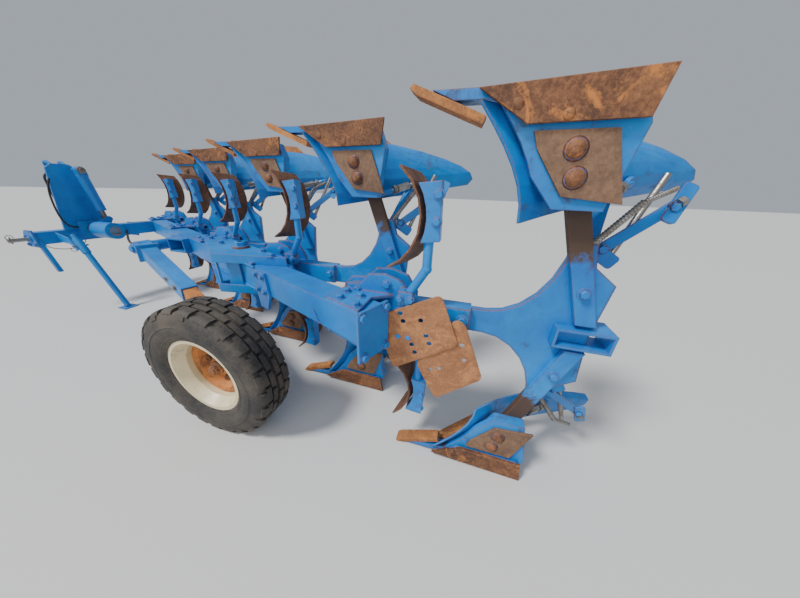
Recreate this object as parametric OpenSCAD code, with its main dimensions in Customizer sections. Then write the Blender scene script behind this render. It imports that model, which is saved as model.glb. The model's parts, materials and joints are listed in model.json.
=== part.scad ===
// Mounted reversible plough, two mirrored sets of bodies on one skewed beam.
// +X is forward, towards the tractor, +Y is left and +Z is up, with the ground at z = 0.

/* [Layout] */
// Number of body pairs along the beam
bodies = 5; // [3:1:6]
// Distance between neighbouring bodies along the travel direction
body_pitch = 850; // [780:10:1000]
// Furrow width, the sideways step from one body to the next
furrow_w = 350; // [320:10:420]
// Height of the beam's middle plane, which is also the turnover axis
beam_z = 805; // [780:5:860]
// Depth of the sole below the beam's middle plane
sole_h = 803; // [770:1:803]

/* [Beam] */
// Side of the square main beam
beam_s = 140; // [120:5:160]
// Wall of the main beam
beam_wall = 10; // [8:1:14]
// Beam past the rear console
beam_rear = 55; // [40:5:90]
// Sideways distance from a leg to the beam's middle line at that leg's console
beam_off = 175; // [160:5:220]
// Thickness of the gusset and console plates
plate_t = 14; // [10:1:18]

/* [Body carriers] */
// Distance from a leg forward to its console pivot
arm_len = 860; // [820:10:900]
// Width of the carrier arm
arm_w = 80; // [70:2:90]
// Height of the carrier arm
arm_h = 110; // [100:5:125]
// Thickness of the forked web of a carrier
web_t = 26; // [20:2:32]
// Width of a leg bar
leg_w = 72; // [60:2:100]
// Thickness of a leg bar
leg_t = 32; // [25:1:40]
// Diameter of the console pivot pin
pivot_d = 40; // [30:1:50]
// Diameter of the shear bolt
shear_d = 20; // [14:1:24]

/* [Plough bodies] */
// Distance from the leg line to the furrow wall side of a landside
wall_y = 124; // [110:2:140]
// Height of a landside
landside_h = 104; // [80:2:120]
// Thickness of a landside
landside_t = 14; // [10:1:18]
// Thickness of a wear plate
wear_t = 10; // [8:1:14]
// Thickness of a share
share_t = 12; // [10:1:16]
// Thickness of a mouldboard
board_t = 9; // [7:1:12]
// Reach of a mouldboard's tail to the side
board_reach = 350; // [300:10:420]
// Width of a point bar
point_w = 58; // [45:1:70]

/* [Skimmers] */
// Diameter of a skimmer's stem
stem_d = 38; // [30:1:45]
// Width of a skimmer's board
skim_w = 160; // [140:5:200]
// Thickness of a skimmer's board
skim_t = 8; // [6:1:10]

/* [Support wheel] */
// Outer diameter of the tyre
tyre_d = 785; // [760:5:800]
// Width of the tyre
tyre_w = 218; // [200:2:230]
// Diameter of the rim's flanges
rim_d = 446; // [430:2:456]
// Distance of the wheel's middle forward of the rear leg
wheel_x = 1700; // [1660:10:1740]
// Distance of the wheel's middle to the left of the rear leg
wheel_y = 250; // [240:2:290]
// Side of the wheel arm's outer tube
arm_tube = 100; // [90:5:110]

/* [Headstock] */
// Distance of the lower link pins forward of the rear leg
hitch_x = 4700; // [4650:10:4800]
// Sideways place of the headstock's middle
hitch_y = -760; // [-800:10:-720]
// Distance between the shoulders of the lower link pins
hitch_span = 825; // [800:5:900]
// Diameter of the lower link pins
link_pin_d = 36.6; // [28:0.1:37]
// Diameter of the top link hole
top_pin_d = 32; // [25:0.5:32.5]
// Height of the top link hole above the lower link pins
mast_h = 690; // [610:10:720]

/* [Hidden] */
$fn = 48;
slope = furrow_w / body_pitch;
skew = atan(slope);
pin_z = beam_z - 60;
span_x = (bodies - 1) * body_pitch;
rear_x = arm_len - beam_rear;
front_x = hitch_x - 410;
fit_gap = 0.5;
// Gap between flat faces that are welded or bolted on each other
contact = 0.02;
shift_x = 2213;
shift_y = -695.5;
blue = [0.05, 0.42, 0.80];
rust = [0.45, 0.26, 0.15];
steel = [0.45, 0.43, 0.40];
cream = [0.85, 0.80, 0.65];
rubber = [0.08, 0.08, 0.08];

// Places in the plough's frame
module placed() translate([-shift_x, -shift_y, 0]) children();

// The leg of body k, counted from the front, in the beam's middle plane
module at_body(k) translate([(bodies - k) * body_pitch, -(bodies - k) * furrow_w, beam_z]) children();

module each_body() for (k = [1:bodies]) at_body(k) children();

// The lower set is the upper set mirrored in the beam's middle plane
module both_sets() {
    children();
    mirror([0, 0, 1]) children();
}

// An upright plate parallel to travel: outline as [x, z] points, from y0 to y1
module side_plate(outline, y0, y1)
    translate([0, y1, 0]) rotate([90, 0, 0]) linear_extrude(y1 - y0) polygon(outline);

// A lying plate: outline as [x, y] points, from z0 to z1
module flat_plate(outline, z0, z1)
    translate([0, 0, z0]) linear_extrude(z1 - z0) polygon(outline);

// A round bar from p to q
module rod(p, q, d) {
    v = q - p;
    len = norm(v);
    translate(p) rotate([0, acos(v[2] / len), atan2(v[1], v[0])]) cylinder(d = d, h = len);
}

// A flat bar of width w and thickness t from p to q, seen edge on from the side
module bar(p, q, w, t) {
    v = q - p;
    len = norm(v);
    translate(p) rotate([0, acos(v[2] / len), atan2(v[1], v[0])])
        translate([-t / 2, -w / 2, 0]) cube([t, w, len]);
}

// A cross pin along Y
module cross_pin(x, z, d, y0, y1) translate([x, y1, z]) rotate([90, 0, 0]) cylinder(d = d, h = y1 - y0);

// A curved sheet: a grid of points, rows of equal length, given a thickness along each normal
function cross_of(a, b) = cross(a, b);
function unit(v) = v / norm(v);
function normal_at(g, i, j) =
    let (n = len(g) - 1, m = len(g[0]) - 1,
         a = g[min(i + 1, n)][j] - g[max(i - 1, 0)][j],
         b = g[i][min(j + 1, m)] - g[i][max(j - 1, 0)])
    unit(cross_of(a, b));

module sheet(g, t) {
    n = len(g);
    m = len(g[0]);
    top = [for (i = [0:n - 1]) for (j = [0:m - 1]) g[i][j]];
    low = [for (i = [0:n - 1]) for (j = [0:m - 1]) g[i][j] - t * normal_at(g, i, j)];
    function at(i, j) = i * m + j;
    o = n * m;
    faces = concat(
        [for (i = [0:n - 2]) for (j = [0:m - 2]) [at(i, j), at(i, j + 1), at(i + 1, j + 1)]],
        [for (i = [0:n - 2]) for (j = [0:m - 2]) [at(i, j), at(i + 1, j + 1), at(i + 1, j)]],
        [for (i = [0:n - 2]) for (j = [0:m - 2]) [o + at(i, j), o + at(i + 1, j + 1), o + at(i, j + 1)]],
        [for (i = [0:n - 2]) for (j = [0:m - 2]) [o + at(i, j), o + at(i + 1, j), o + at(i + 1, j + 1)]],
        [for (i = [0:n - 2]) [at(i, 0), at(i + 1, 0), o + at(i + 1, 0)]],
        [for (i = [0:n - 2]) [at(i, 0), o + at(i + 1, 0), o + at(i, 0)]],
        [for (i = [0:n - 2]) [at(i, m - 1), o + at(i + 1, m - 1), at(i + 1, m - 1)]],
        [for (i = [0:n - 2]) [at(i, m - 1), o + at(i, m - 1), o + at(i + 1, m - 1)]],
        [for (j = [0:m - 2]) [at(0, j), o + at(0, j + 1), at(0, j + 1)]],
        [for (j = [0:m - 2]) [at(0, j), o + at(0, j), o + at(0, j + 1)]],
        [for (j = [0:m - 2]) [at(n - 1, j), at(n - 1, j + 1), o + at(n - 1, j + 1)]],
        [for (j = [0:m - 2]) [at(n - 1, j), o + at(n - 1, j + 1), o + at(n - 1, j)]]
    );
    polyhedron(points = concat(top, low), faces = faces);
}

// Beam line in plan: y of the beam's middle at a given x
function beam_y(x) = beam_off - (x - arm_len) * slope;

// A square bar along the beam's line, its ends square to it
module along_beam(x0, x1, s)
    translate([x0, beam_y(x0), beam_z]) rotate([0, 0, -skew])
        translate([0, -s / 2, -s / 2]) cube([(x1 - x0) / cos(skew), s, s]);

// Lets a shape be drawn along the beam: x along it from a place along travel, y to its left, z from its middle
module on_beam(x) translate([x, beam_y(x), beam_z]) rotate([0, 0, -skew]) children();

module main_beam() color(blue) placed() difference() {
    along_beam(rear_x, front_x, beam_s);
    along_beam(rear_x - 10, front_x + 10, beam_s - 2 * beam_wall);
    // slanted hole in the left wall near the rear end
    on_beam(arm_len) side_plate([[262, 0], [240, -14], [196, -78], [218, -64]], beam_s / 2 - beam_wall - 5, beam_s / 2 + 5);
}

// Gussets over and under the beam at its joint: a raised plate on rails
gusset_x = 2000;
gusset_rise = 40;
gusset_tip = [gusset_x - 40, -72];
gusset_end = gusset_x - 510;
half_w = beam_s / 2 / cos(skew);
gusset_plan = [[gusset_x + 420, beam_y(gusset_x + 420) - half_w], [gusset_x + 420, beam_y(gusset_x + 420) + half_w],
    gusset_tip, [gusset_end, beam_y(gusset_end) - half_w]];
module beam_gussets() color(blue) placed() difference() {
    translate([0, 0, beam_z]) both_sets() {
        flat_plate(gusset_plan, beam_s / 2 + gusset_rise, beam_s / 2 + gusset_rise + plate_t);
        intersection() {
            flat_plate(gusset_plan, beam_s / 2 + contact, beam_s / 2 + gusset_rise + 1);
            translate([0, 0, -beam_z]) union() {
                for (r = [[-beam_s / 2 - 10, plate_t + 10], [beam_s / 2 - plate_t, plate_t]])
                    on_beam(gusset_end) translate([-50, r[0], beam_s / 2]) cube([1100, r[1], gusset_rise + 1]);
                translate([gusset_end, beam_y(gusset_end) - half_w, beam_z + beam_s / 2])
                    rotate([0, 0, atan2(gusset_tip[1] - beam_y(gusset_end) + half_w, gusset_tip[0] - gusset_end)])
                    translate([-10, -plate_t, 0]) cube([500, plate_t + 10, gusset_rise + 1]);
            }
        }
    }
    each_body() console_solid();
}

// Upright plates between the gussets, and one that hangs on the beam's side
web_y = -146;
module gusset_webs() color(blue) placed() {
    reach = beam_s / 2 + gusset_rise - contact;
    translate([0, 0, beam_z]) {
        translate(gusset_tip) rotate([0, 0, atan2(gusset_plan[1][1] - gusset_tip[1], gusset_plan[1][0] - gusset_tip[0])])
            side_plate([[48, reach], [30, -reach], [170, -reach], [200, reach]], -28, -16);
        side_plate([[1925, reach], [1828, reach], [1828, -reach], [1940, -reach]], web_y, web_y + 13);
    }
    on_beam(1560) side_plate([[-70, 66], [50, 66], [60, -70], [48, -165], [-40, -165], [-90, -70]],
        beam_s / 2 + contact, beam_s / 2 + 14);
}

// The flanges that close the beam's ends, the rear one taller than the beam
module beam_end_plates() color(blue) placed() difference() {
    union() {
        translate([rear_x, beam_y(rear_x), beam_z]) rotate([0, 0, -skew])
            translate([-plate_t - contact, -beam_s / 2 - 15, -beam_s / 2 - 75])
                cube([plate_t, beam_s + 35, beam_s + 90]);
        translate([front_x, beam_y(front_x), beam_z]) rotate([0, 0, -skew])
            translate([contact, -beam_s / 2, -beam_s / 2]) cube([plate_t, beam_s, beam_s]);
    }
    each_body() console_solid();
}

// Console outline in [x, z], one lobe for the pivot and one for the shear bolt
lobe = [[-190, -74], [-190, 74], [-140, 150], [-60, 176], [20, 168], [60, 120],
        [150, 110], [190, 60], [190, -60], [150, -110], [60, -120], [20, -168],
        [-60, -176], [-140, -150]];
module console_solid() {
    difference() {
        for (y = [-arm_w / 2 - plate_t - fit_gap, arm_w / 2 + fit_gap])
            translate([arm_len, 0, 0]) side_plate(lobe, y, y + plate_t);
        // the webs end at the beam's side
        translate([arm_len, beam_off, 0]) rotate([0, 0, -skew]) translate([-400, -beam_s / 2, -200])
            cube([800, beam_s, 400]);
    }
    // tie plates from the webs to the beam
    both_sets() flat_plate([[arm_len - 112, -arm_w / 2 - fit_gap - 6], [arm_len + 140, -arm_w / 2 - fit_gap - 6],
                [arm_len + 165, beam_off - 165 * slope + beam_s / 2],
                [arm_len - 20, beam_off + 20 * slope + beam_s / 2],
                [arm_len - 20, beam_off + 20 * slope - beam_s / 2], [arm_len - 112, arm_w / 2 + fit_gap + 6]],
        beam_s / 2, beam_s / 2 + plate_t);
    // clamps of the skimmer stems
    both_sets() translate([arm_len - 196, arm_w / 2 + fit_gap + 6, 56]) cube([64, 54, 68]);
}
module consoles() color(blue) placed() each_body() difference() {
    console_solid();
    cross_pin(arm_len, 0, pivot_d + 0.2, -arm_w, arm_w);
    cross_pin(arm_len - 130, 0, shear_d + 0.2, -arm_w, arm_w);
    both_sets() rod(stem_low, stem_knee, stem_d);
}

module pivot_pins() color(steel) placed() each_body() {
    reach = arm_w / 2 + plate_t + 14;
    cross_pin(arm_len, 0, pivot_d, -reach, reach);
    cross_pin(arm_len - 130, 0, shear_d, -reach, reach);
}

// Forked web that carries the leg bars, upper half, as [x, z]
web_x = 480;
function web_half() = concat(
    [[web_x, 0], [web_x, arm_h / 2]],
    [for (a = [90:-15:15]) [360 - 250 * cos(a) , 430 - 330 * sin(a) - 45]],
    [[110, 360], [40, 360], [20, 280], [-60, 220], [-40, 0]]);
module carriers() color(blue) placed() each_body() {
    difference() {
        translate([web_x - 60, -arm_w / 2, -arm_h / 2]) cube([arm_len - web_x + 130, arm_w, arm_h]);
        cross_pin(arm_len, 0, pivot_d + 0.2, -arm_w, arm_w);
        cross_pin(arm_len - 130, 0, shear_d + 0.2, -arm_w, arm_w);
    }
    both_sets() side_plate(web_half(), -web_t / 2, web_t / 2);
}

leg_foot = [0, 60];
leg_head = [178, 570];
module legs_solid()
    side_plate([[leg_foot[0] - leg_w / 2, leg_foot[1]], [leg_foot[0] + leg_w / 2, leg_foot[1]],
                [leg_head[0] + leg_w / 2, leg_head[1]], [leg_head[0] - leg_w / 2, leg_head[1]]],
        web_t / 2, web_t / 2 + leg_t);
module legs() color(blue) placed() each_body() both_sets() legs_solid();

// Frog between the leg's head, the landside and the share, stepped in front to follow the board
module frogs() color(blue) placed() each_body() both_sets() {
    side_plate([[90, 770], [60, 690], [100, 470], [232, 470], [279, 560], [297, 600], [327, 650],
                [362, 700], [399, 740], [412, 757], [573, 757], [640, 785], [500, 785]],
        web_t / 2 + leg_t, 72);
    side_plate([[90, 770], [60, 690], [100, 470], [240, 470], [319, 560], [338, 600], [367, 650],
                [403, 700], [434, 740], [446, 757], [573, 757], [640, 785], [500, 785]],
        72, wall_y - landside_t - wear_t);
    side_plate([[90, 770], [90, 705], [380, 705], [440, 757], [500, 780]],
        wall_y - landside_t - wear_t, wall_y - landside_t);
}

module landsides() color(rust) placed() each_body() both_sets()
    side_plate([[505, sole_h - 25], [60, sole_h], [76, sole_h - landside_h], [362, sole_h - landside_h - 8]],
        wall_y - landside_t, wall_y);

module wear_plates() color(rust) placed() each_body() both_sets()
    side_plate([[338, 676], [129, 680], [62, 492], [226, 508], [320, 631]],
        wall_y - landside_t - wear_t, wall_y - landside_t);

// Share beside the point bar, from the joint under the mouldboard to the cutting edge
module shares() color(rust) placed() each_body() both_sets()
    sheet([[[434, 41, 753], [120, -230, 745]], [[541, 41, sole_h], [215, -275, sole_h]]], -share_t);

// Point bars: outline as [x, z] points
point_y = wall_y - landside_t - wear_t;
module points() color(rust) placed() each_body() both_sets()
    side_plate([[475, 717.9], [700, 804], [712, 794], [690, 776], [484, 696.9]], point_y - point_w, point_y);

// Mouldboard: horizontal generators from the shin to the tail, each a curve of three controls
function bez(a, b, c, u) = (1 - u) * (1 - u) * a + 2 * u * (1 - u) * b + u * u * c;
function shin_pt(v) = [500 - 170 * sin(90 * v), wall_y - 26, 752 - 330 * v];
function tail_pt(v) = [120 - 466 * pow(sin(110 * v), 0.9), -215 - (board_reach - 215) * v - 30 * sin(180 * v),
                       742 - 183 * v];
function mid_pt(v) = [(shin_pt(v)[0] + tail_pt(v)[0]) / 2 - 10 + 60 * v,
                      (shin_pt(v)[1] + tail_pt(v)[1]) / 2 - 110 * v,
                      (shin_pt(v)[2] + tail_pt(v)[2]) / 2];
function board_grid(u0, u1, nu, nv) = [for (i = [0:nv]) let (v = i / nv)
    [for (j = [0:nu]) let (u = u0 + (u1 - u0) * j / nu) bez(shin_pt(v), mid_pt(v), tail_pt(v), u)]];
module mouldboards() color(blue) placed() each_body() both_sets()
    sheet(board_grid(0.18, 1, 8, 6), -board_t);
module shins() color(blue) placed() each_body() both_sets()
    sheet(board_grid(0, 0.178, 1, 6), -board_t);

// A place on the board's back and the direction away from it
function board_pt(u, v) = bez(shin_pt(v), mid_pt(v), tail_pt(v), u);
function board_nv(u, v) = unit(cross(board_pt(u, v + 0.01) - board_pt(u, v - 0.01),
    board_pt(u + 0.01, v) - board_pt(u - 0.01, v)));
function back_pt(u, v, d) = board_pt(u, v) + (board_t + d) * board_nv(u, v);
module stays() color(blue) placed() each_body() both_sets() {
    rod(back_pt(0.62, 0.75, 3), back_pt(0.62, 0.75, 22), 44);
    rod(back_pt(0.5, 0.9, 3), back_pt(0.5, 0.9, 22), 44);
    difference() {
        rod([140, web_t / 2 + leg_t / 2, 480], back_pt(0.62, 0.75, 16), 24);
        legs_solid();
    }
    difference() {
        bar([60, -web_t / 2 + 4, 330], back_pt(0.5, 0.9, 16), 45, 12);
        side_plate(web_half(), -web_t / 2, web_t / 2);
        translate([0, -web_t / 2, 200]) cube([200, 100, 200]);
    }
}

// Skimmers: places along travel count from the upper part of the stem
skim_x = arm_len - 242;
skim_y = arm_w / 2 + plate_t + fit_gap + stem_d / 2 + 3;
stem_low = [skim_x + 89, skim_y, 70];
stem_knee = [skim_x, skim_y, 225];
module skimmer_stems() color(blue) placed() each_body() both_sets() {
    rod(stem_low, stem_knee, stem_d);
    rod(stem_knee, [skim_x, skim_y, 400], stem_d);
    translate(stem_knee) sphere(d = stem_d + 5);
}
// The board's arc: centre along travel, centre height and radius of its front face
skim_mid = [skim_x + 250, 418];
skim_r = 212;
skim_y1 = skim_y + 25;
skim_lean = 40;
function skim_front(a, r) = [skim_mid[0] - skim_lean / 3 + r * cos(a), skim_mid[1] - 4 + r * sin(a)];
module skimmer_frogs() color(blue) placed() each_body() both_sets() difference() {
    side_plate(concat([[skim_x - 33, 545], [skim_x - 43, 340]],
        [for (a = [202:-11:147]) skim_front(a, skim_r + skim_t + 4)]), 48, skim_y1);
    translate([skim_x, skim_y, 300]) cylinder(d = stem_d, h = 100);
}
function skim_pt(u, v) = let (a = 128 + 117 * v)
    [skim_mid[0] + skim_r * cos(a) - skim_lean * u, skim_y1 - skim_w * u, skim_mid[1] + skim_r * sin(a) - 12 * u];
module skimmer_boards() color(rust) placed() each_body() both_sets()
    sheet([for (i = [0:7]) [for (j = [0:3]) skim_pt(j / 3, i / 7)]], -skim_t);

// Two plates hung on the lower rear skimmer's stem, drilled for their bolts: points are [x, z]
hang_y = skim_y + stem_d / 2 + 2.7;
hang_hole = 22;
inner_holes = [[-193, -84], [-211, -157], [-176, -177], [-108, -228], [-73, -244]];
outer_holes = [[81, 27], [67, -9], [-10, 8], [-39, -62], [-55, -99], [22, -121], [6, -159]];
module deflector_plates() color(rust) placed() at_body(bodies) translate([skim_x + 12, 0, 0]) difference() {
    union() {
        side_plate([[-152, 36], [-193, 21], [-302, -239], [-106, -411], [-2, -224]], hang_y, hang_y + 8);
        side_plate([[196, -8], [-85, 137], [-179, -82], [107, -274]], hang_y + 8, hang_y + 15);
    }
    for (h = concat(inner_holes, outer_holes)) cross_pin(h[0], h[1], hang_hole, hang_y - 1, hang_y + 16);
}

// Open box end at the rear carrier
module rear_socket() color(blue) placed() at_body(bodies) difference() {
    translate([-110, -60, -42]) cube([205, 120, 84]);
    translate([-100, -61, -32]) cube([185, 122, 64]);
    both_sets() side_plate(web_half(), -web_t / 2, web_t / 2);
}

// Turnover housing and the cross member that carries it on the front end of the beam
house_x = hitch_x - 510;
house_l = 246;
shaft_d = 100;
lug = [-110, 105];
lug_side = [-lug[1], lug[0]] / norm(lug);
module turnover_housing() color(blue) placed() difference() {
    union() {
        translate([house_x, hitch_y, beam_z]) rotate([0, 90, 0]) cylinder(d = 170, h = house_l);
        translate([house_x + 40, beam_y(house_x + 100), beam_z - 60])
            cube([120, hitch_y - beam_y(house_x + 100), 120]);
        // lever for the turnover cylinder
        translate([house_x + house_l, hitch_y, beam_z]) rotate([90, 0, 90]) linear_extrude(plate_t) union() {
            circle(d = 168);
            translate(lug) circle(d = 56);
            polygon([lug + 26 * lug_side, lug - 26 * lug_side, -74 * lug_side, 74 * lug_side]);
        }
    }
    translate([house_x - 1, hitch_y, beam_z]) rotate([0, 90, 0]) cylinder(d = shaft_d + 0.1, h = house_l + 40);
    along_beam(front_x - 400, front_x + 150, beam_s + 2 * contact);
}

// Cross tube and pin of the support wheel's arm
arm_px = 3095;
arm_py = -371;
arm_pz = beam_z;
hub_l = 100;
module wheel_bracket() color(blue) placed() difference() {
    union() {
        cross_pin(arm_px, arm_pz, 90, beam_y(arm_px), arm_py - hub_l / 2 - 4);
        cross_pin(arm_px, arm_pz, 60, beam_y(arm_px), arm_py + hub_l / 2 + 20);
        translate([arm_px - 70, beam_y(arm_px), arm_pz - 55]) cube([140, 110, 110]);
        translate([arm_px - 250, beam_y(arm_px - 250) - 13, arm_pz - 60]) difference() {
            cube([190, 142, 120]);
            translate([14, -1, 14]) cube([162, 144, 92]);
        }
    }
    along_beam(arm_px - 500, arm_px + 400, beam_s + 2 * contact);
}

// Headstock: cross beam with end plates and a hanging check bar, and the shaft's block
module headstock_beam() color(blue) placed() {
    half = hitch_span / 2;
    difference() {
        union() {
            translate([hitch_x - 60, hitch_y - half, pin_z - 60]) cube([120, hitch_span, 120]);
            for (y = [-half, half - plate_t])
                translate([hitch_x, hitch_y, pin_z]) side_plate([[-80, -80], [75, -80], [75, 40], [30, 85], [-80, 85]],
                    y, y + plate_t);
        }
        cross_pin(hitch_x, pin_z, 37, hitch_y - half - 1, hitch_y + half + 1);
        cross_pin(hitch_x - 52, pin_z + 72, 18, hitch_y - half - 1, hitch_y + half + 1);
    }
    translate([hitch_x - 140, hitch_y - 90, pin_z - 30]) cube([80, 180, 175]);
    translate([hitch_x, hitch_y, pin_z]) side_plate([[-62, 0], [-22, 0], [-122, -330], [-162, -330]],
        half - plate_t - 30, half - plate_t + 1);
}

module turnover_shaft() color(steel) placed()
    translate([house_x, hitch_y, beam_z]) rotate([0, 90, 0]) cylinder(d = shaft_d, h = hitch_x - 140 - house_x);

cyl_x = hitch_x - 203;
cyl_top = [-66, 590];
module mast() color(blue) placed() {
    difference() {
        union() {
            for (y = [-60, 40])
                translate([0, hitch_y, 0]) side_plate([[hitch_x - 60, pin_z + 60], [hitch_x + 60, pin_z + 60],
                    [hitch_x + 60, pin_z + mast_h - 90], [hitch_x + 46, pin_z + mast_h + 28],
                    [hitch_x + 10, pin_z + mast_h + 40], [hitch_x - 60, pin_z + mast_h + 10]],
                    y, y + 20);
            // rear cover, wide at its foot
            translate([hitch_x - 80, hitch_y, beam_z]) rotate([90, 0, 90]) linear_extrude(20)
                polygon([[-170, 0], [-90 - contact, 0], [-90 - contact, 85 + contact], [90 + contact, 85 + contact],
                    [90 + contact, 0], [190, 0], [110, 600], [60, 640], [-60, 640], [-110, 600]]);
        }
        cross_pin(hitch_x + 10, pin_z + mast_h, top_pin_d, hitch_y - 100, hitch_y + 100);
    }
    translate([cyl_x - 42, hitch_y + cyl_top[0], beam_z + cyl_top[1]]) rotate([0, 90, 0])
        cylinder(d = 30, h = hitch_x - 80 - cyl_x + 42);
}

module hitch_pins() color(steel) placed() for (s = [-1, 1])
    cross_pin(hitch_x, pin_z, link_pin_d, min(hitch_y + s * hitch_span / 2, hitch_y + s * (hitch_span / 2 + 130)),
        max(hitch_y + s * hitch_span / 2, hitch_y + s * (hitch_span / 2 + 130)));

// Turnover cylinder, hung on the mast's pin and reaching down to the housing's lever
cyl_v = lug - cyl_top;
cyl_len = norm(cyl_v);
module along_cylinder() translate([cyl_x, hitch_y + cyl_top[0], beam_z + cyl_top[1]])
    rotate([180 + atan2(cyl_v[0], -cyl_v[1]), 0, 0]) children();
module cylinder_barrel() color(blue) placed() along_cylinder() difference() {
    union() {
        translate([0, 0, 45]) cylinder(d = 84, h = 355);
        translate([-35, -35, 0]) cube([70, 70, 60]);
        translate([-35, 0, 0]) rotate([0, 90, 0]) cylinder(d = 70, h = 70);
    }
    translate([-60, 0, 0]) rotate([0, 90, 0]) cylinder(d = 30.1, h = 120);
    translate([0, 0, 64]) cylinder(d = 40.1, h = 340);
}
module cylinder_rod() color(steel) placed() along_cylinder() {
    translate([0, 0, 114]) cylinder(d = 40, h = cyl_len - 114);
    translate([-20, 0, cyl_len]) rotate([0, 90, 0]) cylinder(d = 56, h = 40);
    translate([-cyl_x + house_x + house_l + plate_t + 5.5, 0, cyl_len]) rotate([0, 90, 0])
        cylinder(d = 26, h = cyl_x - house_x - house_l - plate_t - 5.5);
}

// Hoses looped on the mast's left side: x, lower and upper z from the hitch's middle, and bend
hose_list = [[-35, 150, 560, 70], [25, 200, 480, 50]];
hose_d = 18;
module hoses() color(rubber) placed() translate([hitch_x, hitch_y + 60, beam_z]) for (h = hose_list) {
    translate([h[0], 0, h[2] - h[3]]) rotate([90, 0, 90])
        rotate_extrude(angle = 90) translate([h[3], 0]) circle(d = hose_d);
    translate([h[0], 0, h[1] + h[3]]) rotate([90, 0, 90]) rotate([0, 0, -90])
        rotate_extrude(angle = 90) translate([h[3], 0]) circle(d = hose_d);
    translate([h[0], h[3], h[1] + h[3]]) cylinder(d = hose_d, h = h[2] - h[1] - 2 * h[3]);
}

// Parking stand: the leg leans forward through a sleeve on the headstock
stand_y = -542;
stand_foot = [hitch_x - 622, stand_y, 0];
stand_dir = [268, 0, 573] / norm([268, 0, 573]);
module stand_sleeve() color(blue) placed() difference() {
    union() {
        rod(stand_foot + 655 * stand_dir, stand_foot + 815 * stand_dir, 66);
        side_plate([[hitch_x - 60, 700], [hitch_x - 60, 795], [hitch_x - 250, 750], [hitch_x - 330, 640],
                    [hitch_x - 290, 620], [hitch_x - 240, 690]], stand_y + 31, stand_y + 45);
    }
    rod(stand_foot + 600 * stand_dir, stand_foot + 900 * stand_dir, 50.1);
}
module stand_leg() color(blue) placed() {
    rod(stand_foot + 20 * stand_dir, stand_foot + 860 * stand_dir, 50);
    translate(stand_foot + [-50, -60, 0]) cube([120, 120, 10]);
    translate(stand_foot + [-10, -20, 5]) cube([40, 40, 30]);
}

// Support wheel's arm with its slide and axle
arm_hub = [arm_px, arm_py, arm_pz];
arm_end = [2350, -139, 587];
axle_at = [wheel_x, 88, tyre_d / 2];
module wheel_arm() color(blue) placed() difference() {
    union() {
        bar([arm_px, arm_py, arm_pz], arm_end, arm_tube, arm_tube);
        bar(arm_hub + 92 * unit(arm_end - arm_hub), arm_hub + 112 * unit(arm_end - arm_hub), arm_tube + 44, arm_tube + 44);
        cross_pin(arm_px, arm_pz, 110, arm_py - hub_l / 2, arm_py + hub_l / 2);
    }
    cross_pin(arm_px, arm_pz, 60.1, arm_py - 200, arm_py + 200);
    bar(arm_end - 300 * unit(arm_end - axle_at) * -1, arm_end - 10 * unit(arm_end - axle_at), 82, 82);
}
module wheel_slide() color(rust) placed() difference() {
    union() {
        bar(arm_end + 120 * unit(arm_end - axle_at), axle_at, 80, 80);
        cross_pin(wheel_x, tyre_d / 2, 90, 45, 132);
    }
    translate([wheel_x - 200, 132, 0]) cube([400, 100, 800]);
}
module wheel_axle() color(steel) placed() {
    cross_pin(wheel_x, tyre_d / 2, 50, 132, wheel_y + 16);
    cross_pin(wheel_x, tyre_d / 2, 70, 132, 160);
}

// Wheel pieces are turned about the axle, with their own z towards the beam
module at_wheel() translate([wheel_x, wheel_y, tyre_d / 2]) rotate([90, 0, 0]) children();
well_r = rim_d / 2 - 50;
module rim() color(cream) placed() at_wheel()
    rotate_extrude() polygon([[rim_d / 2 - 20, -85], [rim_d / 2, -85], [rim_d / 2, -70], [rim_d / 2 - 12, -66],
        [rim_d / 2 - 40, -30], [rim_d / 2 - 40, 30], [rim_d / 2 - 12, 66], [rim_d / 2, 70], [rim_d / 2, 85],
        [rim_d / 2 - 20, 85], [well_r, 32], [well_r, -32]]);

// Dished disc with its hub, set back towards the beam
module wheel_disc() color(rust) placed() at_wheel() {
    rotate_extrude() polygon([[well_r - 0.05, -4], [well_r - 0.05, 8], [well_r - 22, 14], [well_r - 46, 54],
        [54, 54], [54, 43], [well_r - 53, 43], [well_r - 29, 5]]);
    rotate_extrude() polygon([[25.05, -2], [46, -2], [55, 8], [55, 78], [25.05, 78]]);
}

module tyre() color(rubber) placed()
    translate([wheel_x, wheel_y, tyre_d / 2]) rotate([90, 0, 0]) rotate_extrude()
        polygon([[rim_d / 2 - 11.5, -65], [rim_d / 2 + 0.2, -69.8], [rim_d / 2 + 0.2, -86], [rim_d / 2 + 60, -tyre_w / 2],
            [tyre_d / 2 - 40, -tyre_w / 2 + 4], [tyre_d / 2, -tyre_w / 2 + 30], [tyre_d / 2, tyre_w / 2 - 30],
            [tyre_d / 2 - 40, tyre_w / 2 - 4], [rim_d / 2 + 60, tyre_w / 2], [rim_d / 2 + 0.2, 86],
            [rim_d / 2 + 0.2, 69.8], [rim_d / 2 - 11.5, 65]]);

main_beam();
beam_gussets();
gusset_webs();
beam_end_plates();
consoles();
pivot_pins();
carriers();
legs();
frogs();
landsides();
wear_plates();
shares();
points();
mouldboards();
shins();
stays();
skimmer_stems();
skimmer_frogs();
skimmer_boards();
deflector_plates();
rear_socket();
turnover_housing();
wheel_bracket();
headstock_beam();
mast();
turnover_shaft();
hitch_pins();
cylinder_barrel();
cylinder_rod();
hoses();
stand_sleeve();
stand_leg();
wheel_arm();
wheel_slide();
wheel_axle();
rim();
wheel_disc();
tyre();
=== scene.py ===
"""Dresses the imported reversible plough: finishes, fasteners, tyre tread, hoses, studio and camera."""

from __future__ import annotations

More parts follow.
